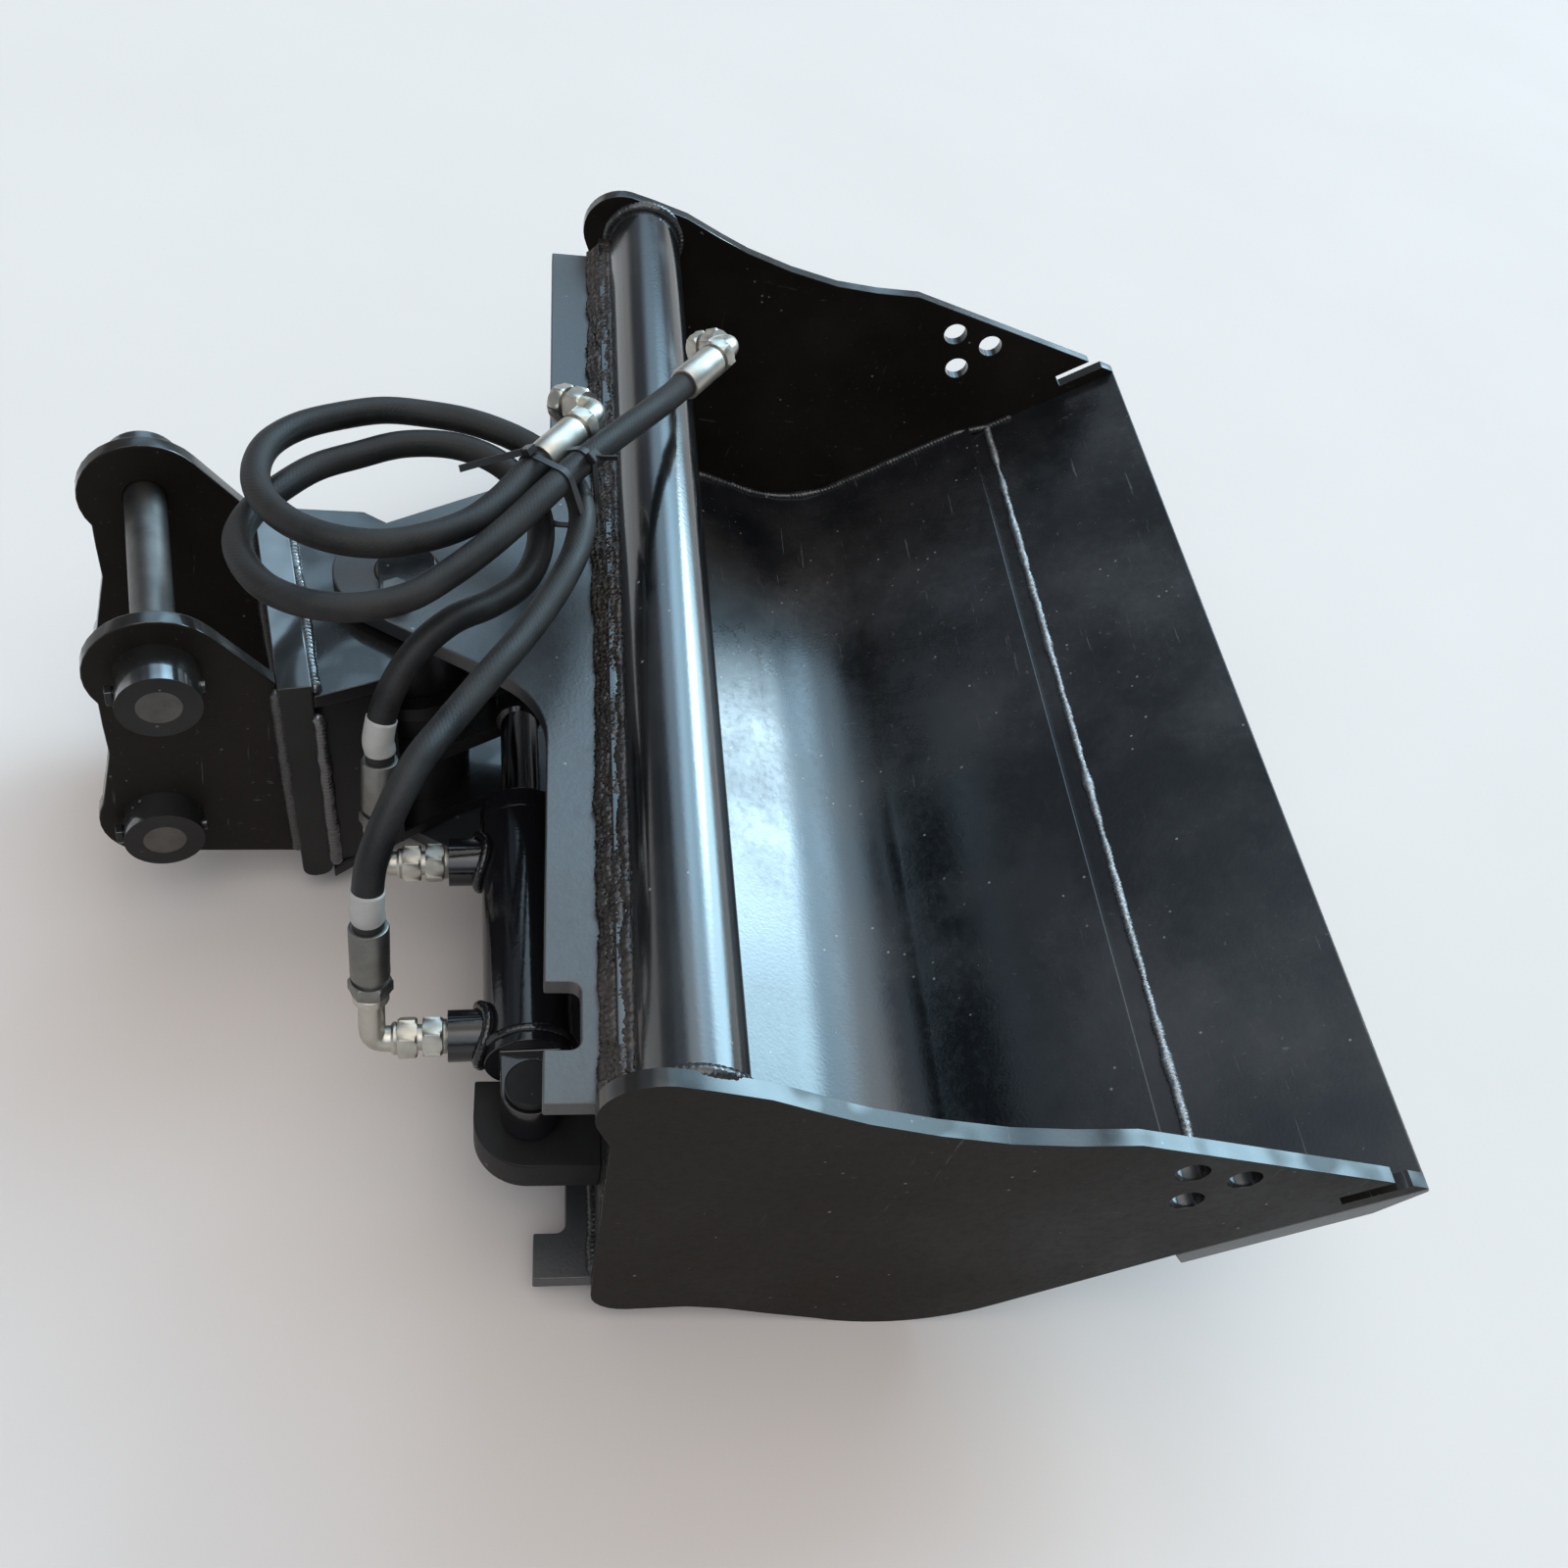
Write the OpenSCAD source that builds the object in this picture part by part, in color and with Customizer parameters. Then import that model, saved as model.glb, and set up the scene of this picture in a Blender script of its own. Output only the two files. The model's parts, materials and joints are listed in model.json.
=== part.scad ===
// Tilt bucket for a small digging machine: a rolled-plate ditching bucket with
// a torque tube, a tilting hitch head on a pivot pin, and one hydraulic
// cylinder that swings the head. The bucket lies on its back, opening upwards.
//
// Everything is drawn in a work frame and laid down at the end by place():
//   X runs from the near side plate to the far one,
//   Y runs from the open side to the rear, along the top plate,
//   Z runs from the lip, 0, up to the hitch.

/* [Bucket] */
// Width over the two side plates
bucket_w = 800; // [500:10:1400]
// Height from the lip to the top edge of the side plates
bucket_h = 470; // [350:5:700]
// Thickness of a side plate
side_t = 10; // [6:1:20]
// Thickness of the rolled shell and the top plate
shell_t = 8; // [4:1:16]
// How far the side plates stand proud of the shell
side_proud = 3; // [1:0.5:6]
// Radius of the rolled heel at the side plates' edge
heel_r = 112; // [80:1:160]
// Length of the cutting edge from lip to seam
edge_l = 150; // [80:5:250]
// Thickness of the cutting edge
edge_t = 16; // [8:1:30]
// Length of the bevel at the lip
edge_bevel = 34; // [10:1:60]
// Thickness left at the tip of the lip
edge_tip = 5; // [2:0.5:10]
// Overlap of the shell on the cutting edge
edge_lap = 13; // [6:1:30]
// Diameter of each side plate hole
side_hole_d = 20; // [10:0.5:30]
// Bolt circle diameter of the side plate holes
side_hole_pcd = 40.6; // [30:0.1:60]
// Length of the slot beside the cutting edge
slot_l = 48; // [20:1:90]
// Height of that slot
slot_h = 11; // [6:0.5:20]
// Thickness of the finger below that slot
slot_finger = 9.5; // [5:0.5:16]

/* [Torque tube and supports] */
// Outer diameter of the torque tube
tube_d = 57; // [40:0.5:90]
// Wall of the torque tube
tube_wall = 6; // [3:0.5:12]
// Side plate left round the torque tube
tube_margin = 2.5; // [1:0.5:10]
// Thickness of a support plate
support_t = 12; // [8:1:25]
// Gap between a support plate's far end and the side plate
support_end_gap = 4; // [1:0.5:20]
// Gap between the front support plate's near end and the side plate
front_near_gap = 9.5; // [1:0.5:30]
// Height of the support plates over the top plate
support_rise = 36; // [20:1:80]
// Setback of the front support plate from the torque tube's axis
front_support_back = 20.4; // [10:0.1:27]
// Width of the tab at the front plate's near end
front_tab_w = 30.5; // [15:0.5:60]
// Width of the notch beside that tab
front_notch_w = 40; // [20:1:90]
// Width of the tab at the rear plate's near end
rear_tab_w = 28; // [15:0.5:60]
// Width of the notch beside that tab
rear_notch_w = 48; // [20:1:90]
// Depth of both notches
notch_depth = 19; // [5:1:30]
// Corner radius of a notch
notch_r = 6; // [2:0.5:10]
// Radius of the support plates round the pivot
boss_r = 46; // [34:1:70]
// Slope of the raised middle, from the vertical
boss_slope = 31; // [15:1:45]
// Fillet radius at the foot of the raised middle
boss_fillet = 58; // [20:1:90]

/* [Pivot] */
// Height of the pivot over the top plate
pivot_rise = 125; // [95:1:180]
// Diameter of the pivot pin
pivot_d = 40; // [25:1:60]
// Overhang of the pin behind the rear support plate
pivot_tail = 2; // [0:0.5:4]
// Thickness of the pin keeper
keeper_t = 6; // [3:0.5:12]
// Distance from the pin to the keeper's bolt
keeper_reach = 31; // [26:0.5:60]
// Diameter of the keeper's bolt
keeper_bolt_d = 10; // [6:1:16]
// Gap between the head and a support plate
side_gap = 4; // [2:0.5:8]
// Outer diameter of a thrust washer
washer_d = 62; // [50:1:90]

/* [Tilt head] */
// Tilt of the head at rest
rest_tilt = 11.8; // [-25:0.1:25]
// Outer diameter of the pivot housing
housing_d = 76; // [60:1:110]
// Outer diameter of a pivot bush
bush_d = 52; // [44:1:80]
// Length of a pivot bush
bush_l = 50; // [20:1:70]
// Thickness of the front and rear head plates
head_plate_t = 10; // [6:1:20]
// Height of the base plate's underside over the pivot
base_rise = 68; // [50:1:100]
// Thickness of the base plate
base_t = 20; // [10:1:35]
// Width of the base plate
base_w = 176; // [120:1:300]
// Length of the base plate, front to rear
base_l = 184; // [150:1:230]
// Overhang of the base plate before the front head plate
base_over = 9.5; // [0:0.5:16]
// Radius of the base plate's rear edge
base_nose_r = 9; // [3:0.5:10]
// Distance over the outsides of the ears
ears_w = 166; // [120:1:280]
// Thickness of an ear
ear_t = 10; // [6:1:20]
// Diameter of a hitch pin
hitch_d = 25; // [20:1:40]
// Distance between the hitch pins along the base plate
hitch_pitch = 127; // [90:1:200]
// Height of the front hitch pin over the base plate
hitch_front_z = 63; // [40:1:100]
// Height of the rear hitch pin over the base plate
hitch_rear_z = 78; // [40:1:120]
// Setback of the rear hitch pin from the pivot housing's front
hitch_rear_y = 97.6; // [60:0.1:160]
// Radius of an ear round the front hitch pin
lobe_front_r = 40; // [25:0.5:60]
// Radius of an ear round the rear hitch pin
lobe_rear_r = 37; // [25:0.5:60]
// Diameter of a hitch boss
hitch_boss_d = 47; // [40:1:80]
// Length of a front hitch boss outside its ear
boss_front_l = 27; // [14:1:40]
// Length of a rear hitch boss outside its ear
boss_rear_l = 19; // [14:1:40]
// Diameter of a pin retaining bolt
retainer_d = 8; // [5:1:10]
// Direction of the retaining bolts, from the base plate
retainer_turn = 90; // [0:5:355]

/* [Cylinder] */
// Place of the base pin from the near side
base_pin_x = 79; // [50:1:160]
// Height of the base pin over the top plate
base_pin_z = 40; // [30:1:80]
// Plane of the cylinder, behind the lip
cylinder_y = 32; // [0:1:80]
// Diameter of the base pin and the rod pin
cyl_pin_d = 20; // [12:1:35]
// Distance from the pivot to the rod pin
rod_pin_r = 72; // [50:1:100]
// Outer diameter of the barrel
barrel_d = 52; // [36:1:80]
// Bore of the barrel
barrel_bore = 40; // [25:1:63]
// Diameter of the piston rod
rod_d = 25; // [16:1:40]
// Width of the cylinder's eyes
eye_w = 30; // [20:1:50]
// Radius of the base eye
base_eye_r = 17; // [15:0.5:22]
// Radius of the rod eye
rod_eye_r = 21; // [16:0.5:35]
// Length of rod that shows at rest
rod_out = 81; // [55:1:110]
// Thickness of the base lug
lug_t = 25; // [15:1:40]
// Radius of the base lug
lug_r = 32; // [22:1:50]
// Thickness of a rod lug
rod_lug_t = 12; // [8:1:20]
// Radius of a rod lug round its pin
rod_lug_r = 26; // [18:1:40]

/* [Ports and hoses] */
// Place of the base port along the cylinder
port_base_l = 44; // [38:1:80]
// Distance from the gland's end back to its port
port_gland_back = 39.5; // [36:0.5:110]
// Diameter of a port boss
port_d = 30; // [16:1:32]
// Height of a port boss over the cylinder's axis
port_h = 46; // [34:1:70]
// Size across the flats of the fittings
fitting_af = 22; // [17:1:32]
// Height of a fitting's hexagon
fitting_hex = 11; // [6:1:20]
// Diameter of a fitting's pipe
fitting_pipe_d = 15; // [8:1:20]
// Height of the elbows over the cylinder's axis
elbow_h = 88; // [70:1:120]
// Outer diameter of a hose
hose_d = 17; // [10:0.5:25]
// Outer diameter of a ferrule
ferrule_d = 22; // [16:0.5:32]
// Length of a ferrule
ferrule_l = 37; // [20:1:50]

/* [Hidden] */

// Clearances: running fit, fixed fit, and the air between moving faces.
run_gap = 0.05;
fix_gap = 0.05;
air = 0.5;
overrun = 1;

steel_paint = [0.07, 0.07, 0.08];
bright = [0.72, 0.73, 0.75];
bronze = [0.62, 0.47, 0.25];
black = [0.09, 0.09, 0.1];

$fn = 64;
hull_fn = 32;

// Side profile of the bucket, as (Y, Z).
edge_angle = 34;
edge_dir = [sin(edge_angle), cos(edge_angle)];
corner_r = 22;
lobe_c_share = [-0.2, 0.953];
tube_c_share = [-0.19, 0.916];
corner_y_share = 0.251;
heel_c_share = [0.131, 0.606];
hole_c_share = [-0.023, 0.295];
front_edge_shares = [[-0.021, 0.065], [-0.124, 0.41], [-0.125, 0.487],
    [-0.132, 0.562], [-0.153, 0.649], [-0.181, 0.731], [-0.204, 0.78],
    [-0.236, 0.843], [-0.255, 0.904]];
rear_edge_shares = [[0.297, 0.928], [0.295, 0.878], [0.306, 0.827],
    [0.326, 0.773]];
hole_turn = 15;
hole_count = 3;

lobe_c = lobe_c_share * bucket_h;
tube_c = tube_c_share * bucket_h;
heel_c = heel_c_share * bucket_h;
hole_c = hole_c_share * bucket_h;
corner_c = [corner_y_share * bucket_h, bucket_h - corner_r];
top_z = bucket_h - side_proud;
shell_lead = 4;
shell_end_y = corner_c.x - shell_lead;
tube_r = tube_d / 2;

function arc(c, r, a0, a1, n) =
    [for (i = [0:n]) let (a = a0 + (a1 - a0) * i / n) c + r * [cos(a), sin(a)]];
function unit(v) = v / norm(v);
function last(v) = v[len(v) - 1];
// A path moved sideways by d, to the right of its direction for d > 0.
function beside(p, d) = [for (i = [0:len(p) - 1])
    let (u = unit(p[min(i + 1, len(p) - 1)] - p[max(i - 1, 0)]))
    p[i] + d * [u.y, -u.x]];
function reversed(p) = [for (i = [len(p) - 1:-1:0]) p[i]];

heel_in = -36;
heel_out = 24;
tube_arc_in = 200;
tube_arc_out = 65;

side_outline = concat(
    [[0, 0]],
    front_edge_shares * bucket_h,
    arc(lobe_c, tube_r + tube_margin, tube_arc_in, tube_arc_out, 14),
    [[lobe_c.x + tube_r, bucket_h]],
    arc(corner_c, corner_r, 90, 0, 6),
    rear_edge_shares * bucket_h,
    arc(heel_c, heel_r, heel_out, heel_in, 14),
    [edge_l * edge_dir]);

shell_path = concat(
    [(edge_l - edge_lap) * edge_dir, edge_l * edge_dir],
    arc(heel_c, heel_r - side_proud, heel_in, heel_out, 18),
    [for (p = reversed(rear_edge_shares)) p * bucket_h - [side_proud, 0]],
    arc(corner_c, corner_r - side_proud, 0, 90, 6),
    [[shell_end_y, top_z]]);

// Places along Y.
rear_support_y = corner_c.x + 0.4 * (corner_r - side_proud);
front_support_y = lobe_c.x + front_support_back;
support_span = rear_support_y - front_support_y - support_t;
head_y0 = front_support_y + support_t + side_gap;
head_y1 = rear_support_y - side_gap;
washer_t = side_gap - 1.2 * air;

// Pivot and head.
pivot_x = bucket_w / 2;
pivot_z = top_z + pivot_rise;
pivot_r = pivot_d / 2;
base_top = base_rise + base_t;
base_y0 = head_y0 - base_over;
hitch_rear = [head_y0 + hitch_rear_y, base_top + hitch_rear_z];
hitch_front = [hitch_rear.x - sqrt(hitch_pitch ^ 2 - (hitch_rear_z - hitch_front_z) ^ 2),
    base_top + hitch_front_z];

// Cylinder.
base_pin = [base_pin_x, top_z + base_pin_z];
rod_pin = [pivot_x + rod_pin_r * sin(rest_tilt), pivot_z - rod_pin_r * cos(rest_tilt)];
pin_to_pin = norm(rod_pin - base_pin);
cyl_angle = atan2(rod_pin.y - base_pin.y, rod_pin.x - base_pin.x);
barrel_r = barrel_d / 2;
eye_bush_d = 26;
cap_l = 8;
lug_in = 22.5;
barrel_start = lug_in + 3 * air + cap_l;
shank_from_pin = 46;
shank_d = 30;
gland_end = pin_to_pin - shank_from_pin - rod_out;
port_gland_l = gland_end - port_gland_back;
gland_l = 15;
gland_sleeve = 24;
gland_step = 0.5;
gland_d = barrel_d + 2 * gland_step;
wiper_d = 34;
wiper_l = 6;
piston_l = 30;
piston_share = 0.58;
piston_at = barrel_start
    + piston_share * (gland_end - gland_l - gland_sleeve - barrel_start - piston_l);

// Resting place.
// The bucket rolls back on its heel until the rear support plate touches.
rear_touch = [rear_support_y + support_t, pivot_z + boss_r];
to_touch = rear_touch - heel_c;
lean = atan2(to_touch.y, to_touch.x) - acos(heel_r / norm(to_touch));
down = [cos(lean), sin(lean)];
along = [-sin(lean), cos(lean)];
floor_d = heel_c * down + heel_r;
edge_low = edge_tip * [edge_dir.y, -edge_dir.x];
ear_mid = pivot_z + ears_w / 2 * sin(rest_tilt);
lobe_reach = sqrt(sin(lean) ^ 2 + (cos(rest_tilt) * cos(lean)) ^ 2);
function lobe_top(c, r) = [c.x, ear_mid + c.y * cos(rest_tilt)] * along + r * lobe_reach;
y_high = max(lobe_top(hitch_rear, lobe_rear_r), lobe_top(hitch_front, lobe_front_r));
y_low = edge_low * along;

// Hose routes, in the work frame.
// Each starts at a ferrule on its port and ends at the ferrule of its free end.
route_a = [[136, -42, 596], [140, -69, 596], [150, -94, 593], [169, -115, 583],
           [194, -125, 571], [219, -125, 558], [242, -126, 545], [266, -127, 531],
           [290, -126, 518], [315, -126, 506], [341, -127, 495], [367, -128, 487],
           [395, -130, 484], [421, -132, 490], [444, -134, 506], [460, -136, 528],
           [470, -138, 554], [474, -139, 581], [471, -142, 608], [460, -144, 633],
           [443, -147, 656], [420, -150, 671], [394, -152, 675], [368, -154, 669],
           [346, -155, 652], [333, -155, 628], [331, -154, 600], [340, -153, 574],
           [356, -152, 551], [377, -152, 534], [401, -153, 520], [424, -154, 504]];
route_b = [[260, -36, 600], [266, -63, 600], [276, -86, 594], [293, -105, 580],
           [313, -113, 560], [333, -110, 537], [354, -109, 519], [379, -112, 510],
           [404, -118, 510], [428, -124, 521], [445, -129, 540], [454, -131, 566],
           [452, -131, 596], [441, -129, 623], [427, -129, 646], [406, -130, 663],
           [382, -131, 677], [354, -134, 682], [328, -137, 675], [306, -139, 659],
           [293, -141, 635], [291, -142, 608], [299, -144, 582], [317, -147, 560],
           [337, -150, 541], [359, -152, 524], [382, -154, 508], [405, -154, 493],
           [427, -154, 477], [450, -153, 460], [472, -152, 443], [494, -151, 427],
           [517, -151, 411]];
// Directions in which the two free elbows point.
free_a_out = [0.05, 0.22, 0.97];
free_b_out = [0.53, 0.54, 0.66];
hose_sides = 8;
hose_steps = 2;

// A smooth curve from the second point to the last but one.
function smooth(p, steps) = [for (i = [1:len(p) - 3], k = [0:steps - 1])
    let (t = k / steps, a = p[i - 1], b = p[i], c = p[i + 1], d = p[i + 2])
    b + (c - a) * t / 2 + (2 * a - 5 * b + 4 * c - d) * t ^ 2 / 2
      + (3 * b - a - 3 * c + d) * t ^ 3 / 2];
// The whole centre line, straight for one diameter at both ends.
function hose_line(route, u0) =
    let (n = len(route), e = last(route), u1 = unit(e - route[n - 2]),
         p = concat([route[0], route[0] + hose_d * u0],
             [for (i = [1:n - 2]) route[i]], [e - hose_d * u1, e]))
    concat([route[0]], smooth(p, hose_steps), [e - hose_d * u1, e]);
function tangent(p, i) = unit(p[min(i + 1, len(p) - 1)] - p[max(i - 1, 0)]);
// Side vectors carried along the line without twist.
function carried(p, i, v) = let (t = tangent(p, i)) unit(v - (v * t) * t);
function sides(p, v, i = 0) = i == len(p) ? []
    : let (w = carried(p, i, v)) concat([w], sides(p, w, i + 1));
module tube_along(p, d, n) {
    s = sides(p, [0.1, 0.2, 1]);
    points = [for (i = [0:len(p) - 1], k = [0:n - 1])
        let (a = 360 * k / n) p[i] + d / 2 * (cos(a) * s[i] + sin(a) * cross(tangent(p, i), s[i]))];
    walls = [for (i = [0:len(p) - 2], k = [0:n - 1])
        let (a = i * n + k, b = i * n + (k + 1) % n)
        each [[a, a + n, b + n], [a, b + n, b]]];
    m = (len(p) - 1) * n;
    caps = [for (k = [1:n - 2]) each [[0, k, k + 1], [m, m + k + 1, m + k]]];
    polyhedron(points, concat(walls, caps), convexity = 10);
}
function line_length(p, i = 0) = i + 1 >= len(p) ? 0
    : norm(p[i + 1] - p[i]) + line_length(p, i + 1);
// Least air between parts of the line that are over three diameters apart.
function self_gap(p) = min([for (i = [0:len(p) - 1], j = [0:len(p) - 1])
    if (j > i + 4) norm(p[i] - p[j])]) - hose_d;
function gap_between(p, q) = min([for (a = p, b = q) norm(a - b)]) - hose_d;

function in_cylinder(v) = [base_pin.x + v.x * cos(cyl_angle) - v.z * sin(cyl_angle),
    cylinder_y + v.y, base_pin.y + v.x * sin(cyl_angle) + v.z * cos(cyl_angle)];
elbow_a = in_cylinder([port_base_l, 0, elbow_h]);
elbow_b = in_cylinder([port_gland_l, 0, elbow_h]);
out_a = unit(route_a[0] - elbow_a);
out_b = unit(route_b[0] - elbow_b);
line_a = hose_line(route_a, out_a);
line_b = hose_line(route_b, out_b);
end_a = unit(last(route_a) - route_a[len(route_a) - 2]);
end_b = unit(last(route_b) - route_b[len(route_b) - 2]);
echo(rest_lean = lean, floor_drop = floor_d, y_low = y_low, y_high = y_high);
echo(pin_to_pin = pin_to_pin, cylinder_angle = cyl_angle);
echo(hose_lengths = [line_length(line_a), line_length(line_b)], rings = [len(line_a), len(line_b)]);
echo(hose_self_gaps = [self_gap(line_a), self_gap(line_b)], hose_gap = gap_between(line_a, line_b));

// Helpers.
module place() translate([-bucket_w / 2, -(y_low + y_high) / 2, floor_d])
    rotate([-(90 + lean), 0, 0]) children();
module along_x(x, t) translate([x, 0, 0]) rotate([90, 0, 90]) linear_extrude(t) children();
module along_y(y, t) translate([0, y + t, 0]) rotate([90, 0, 0]) linear_extrude(t) children();
module bar_x(x0, y, z, l, d) translate([x0, y, z]) rotate([0, 90, 0]) cylinder(h = l, d = d);
module bar_y(x, y0, z, l, d) translate([x, y0, z]) rotate([-90, 0, 0]) cylinder(h = l, d = d);
module at_head() translate([pivot_x, 0, pivot_z]) rotate([0, -rest_tilt, 0]) children();
module at_cylinder() translate([base_pin.x, cylinder_y, base_pin.y])
    rotate([0, -cyl_angle, 0]) children();
module aim(p, d) translate(p)
    rotate([0, acos(d.z / norm(d)), atan2(d.y, d.x)]) children();
module hexagon(h) cylinder(h = h, d = fitting_af / cos(30), $fn = 6);
module ring(h, d, bore) difference() {
    cylinder(h = h, d = d);
    translate([0, 0, -overrun]) cylinder(h = h + 2 * overrun, d = bore);
}

// Bucket.
module side_plate(x) difference() {
    along_x(x, side_t) difference() {
        polygon(side_outline);
        rotate(90 - edge_angle) translate([-slot_l, slot_finger]) square([2 * slot_l, slot_h]);
    }
    for (i = [0:hole_count - 1]) let (a = hole_turn + 360 * i / hole_count)
        bar_x(x - overrun, hole_c.x + side_hole_pcd / 2 * cos(a),
            hole_c.y + side_hole_pcd / 2 * sin(a), side_t + 2 * overrun, side_hole_d);
}
module side_plate_near() color(steel_paint) place() side_plate(0);
module side_plate_far() color(steel_paint) place() side_plate(bucket_w - side_t);

module rolled_shell() color(steel_paint) place()
    along_x(side_t, bucket_w - 2 * side_t)
        polygon(concat(shell_path, reversed(beside(shell_path, -shell_t))));

// The top plate ends where its lower face meets the tube.
top_rise = top_z - shell_t - tube_c.y;
top_plate_y = tube_c.x + sqrt(max(0, tube_r ^ 2 - top_rise ^ 2));
module top_plate() color(steel_paint) place()
    translate([side_t, top_plate_y, top_z - shell_t])
        cube([bucket_w - 2 * side_t, shell_end_y - top_plate_y, shell_t]);

module cutting_edge() color(steel_paint) place() along_x(0, bucket_w)
    rotate(90 - edge_angle) polygon([[0, 0], [edge_l, 0], [edge_l, -edge_t],
        [edge_bevel, -edge_t], [0, -edge_tip]]);

module torque_tube() color(steel_paint) place()
    translate([side_t, tube_c.x, tube_c.y]) rotate([0, 90, 0])
        ring(bucket_w - 2 * side_t, tube_d, tube_d - 2 * tube_wall);

// Outline of a support plate as (X from its middle, Z), right half first.
support_half = pivot_x - side_t;
support_top = top_z + support_rise;
fillet_z = support_top + boss_fillet;
fillet_c = [(boss_r + boss_fillet - (fillet_z - pivot_z) * sin(boss_slope)) / cos(boss_slope),
    fillet_z];
module support_outline(foot, near_gap, tab_w, notch_w) {
    far_end = support_half - support_end_gap;
    near_end = support_half - near_gap;
    notch_out = near_end - tab_w;
    notch_in = notch_out - notch_w;
    notch_z = support_top - notch_depth;
    middle = concat(
        arc(fillet_c, boss_fillet, -90, boss_slope - 180, 8),
        arc([0, pivot_z], boss_r, boss_slope, 90, 12));
    near = concat(
        [[near_end, foot], [near_end, support_top], [notch_out, support_top]],
        arc([notch_out - notch_r, notch_z + notch_r], notch_r, 0, -90, 5),
        arc([notch_in + notch_r, notch_z + notch_r], notch_r, -90, -180, 5),
        [[notch_in, support_top]], middle);
    far = concat([[far_end, foot], [far_end, support_top]], middle);
    translate([pivot_x, 0]) difference() {
        polygon(concat(far, [for (p = reversed(near)) [-p.x, p.y]]));
        translate([0, pivot_z]) circle(d = pivot_d + 2 * run_gap);
    }
}
module front_support_plate() color(steel_paint) place() difference() {
    along_y(front_support_y, support_t)
        support_outline(top_z, front_near_gap, front_tab_w, front_notch_w);
    bar_x(0, tube_c.x, tube_c.y, bucket_w, tube_d);
    keeper_thread(front_support_y - overrun, support_t + 2 * overrun, 2 * run_gap);
}
rear_foot_share = 0.32;
module rear_support_plate() color(steel_paint) place() difference() {
    along_y(rear_support_y, support_t)
        support_outline(corner_c.y + rear_foot_share * (corner_r - side_proud),
            support_end_gap, rear_tab_w, rear_notch_w);
    bar_x(0, corner_c.x, corner_c.y, bucket_w, 2 * (corner_r - side_proud));
}

// Pivot pin and its keeper.
pivot_pin_l = support_span + 2 * support_t + pivot_tail;
module pivot_pin() color(bright) place()
    bar_y(pivot_x, front_support_y, pivot_z, pivot_pin_l, pivot_d);

keeper_turn = 172;
keeper_bolt_c = [pivot_x, pivot_z] + keeper_reach * [cos(keeper_turn), sin(keeper_turn)];
module keeper_thread(y, l, gap) bar_y(keeper_bolt_c.x, y, keeper_bolt_c.y, l, keeper_bolt_d + gap);
module pin_keeper() color(steel_paint) place() difference() {
    along_y(front_support_y - keeper_t, keeper_t) hull() {
        translate([pivot_x, pivot_z]) circle(r = pivot_r - 2 * overrun, $fn = hull_fn);
        translate(keeper_bolt_c) circle(r = keeper_bolt_d, $fn = hull_fn);
    }
    keeper_thread(front_support_y - keeper_t - overrun, keeper_t + 2 * overrun, 2 * run_gap);
}
module keeper_bolt() color(bright) place() {
    keeper_thread(front_support_y - keeper_t, keeper_t + support_t, 0);
    translate([keeper_bolt_c.x, front_support_y - keeper_t, keeper_bolt_c.y])
        rotate([90, 0, 0]) cylinder(h = 0.65 * keeper_bolt_d, d = 1.85 * keeper_bolt_d, $fn = 6);
}
module thrust_washer(y) color(bright) place()
    translate([pivot_x, y, pivot_z]) rotate([-90, 0, 0])
        ring(washer_t, washer_d, pivot_d + 2 * run_gap);
module thrust_washer_front() thrust_washer(front_support_y + support_t);
module thrust_washer_rear() thrust_washer(rear_support_y - washer_t);

// Cylinder lug and base pin.
base_lug_y = cylinder_y + eye_w / 2 + 4 * air;
module cylinder_lug() color(steel_paint) place()
    along_y(base_lug_y, lug_t) difference() {
        polygon(concat(
            [[base_pin.x + lug_in, top_z], [base_pin.x + lug_in, base_pin.y + lug_r]],
            arc(base_pin, lug_r, 90, 180, 14), [[base_pin.x - lug_r, top_z]]));
        translate(base_pin) circle(d = cyl_pin_d + 2 * run_gap);
    }
base_pin_head = 5;
base_pin_tail = 4;
base_pin_y = cylinder_y - eye_w / 2 - air;
base_pin_l = base_lug_y + lug_t + base_pin_tail - base_pin_y;
module base_pin() color(bright) place() {
    bar_y(base_pin.x, base_pin_y, base_pin.y, base_pin_l, cyl_pin_d);
    bar_y(base_pin.x, base_pin_y - base_pin_head, base_pin.y, base_pin_head, 1.5 * cyl_pin_d);
}

// Tilt head, about the pivot: X' across, Y, Z' up.
module head_plate(y, outline) color(steel_paint) place() at_head()
    along_y(y, head_plate_t) difference() {
        polygon(concat(outline, [for (p = reversed(outline)) [-p.x, p.y]]));
        circle(d = bush_d);
    }
front_taper = 10;
front_knee = 18;
front_foot_r = 46;
module head_front_plate() head_plate(head_y0, concat(
    [[base_w / 2, base_rise], [base_w / 2 - front_taper, front_knee]],
    arc([0, 0], front_foot_r, -25, -90, 8)));
rear_shoulder = 10;
rear_knee = [47, -23];
rear_foot = 48;
rear_foot_r = 41;
module head_rear_plate() head_plate(head_y1 - head_plate_t, concat(
    [[base_w / 2, base_rise], [base_w / 2 - rear_shoulder, base_rise - 2 * rear_shoulder], rear_knee],
    arc([0, -rear_foot], rear_foot_r, 0, -90, 8)));

// Side plates of the head's box, along the tapered edges of its front plate.
gusset_t = 8;
gusset_inset = 5;
module head_gussets() color(steel_paint) place() at_head()
    along_y(head_y0 + head_plate_t, head_y1 - head_y0 - 2 * head_plate_t)
        for (side = [-1, 1]) polygon([
            [side * (base_w / 2 - gusset_inset), base_rise],
            [side * (base_w / 2 - gusset_inset - gusset_t), base_rise],
            [side * (base_w / 2 - front_taper - gusset_inset - gusset_t), front_knee],
            [side * (base_w / 2 - front_taper - gusset_inset), front_knee]]);

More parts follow.
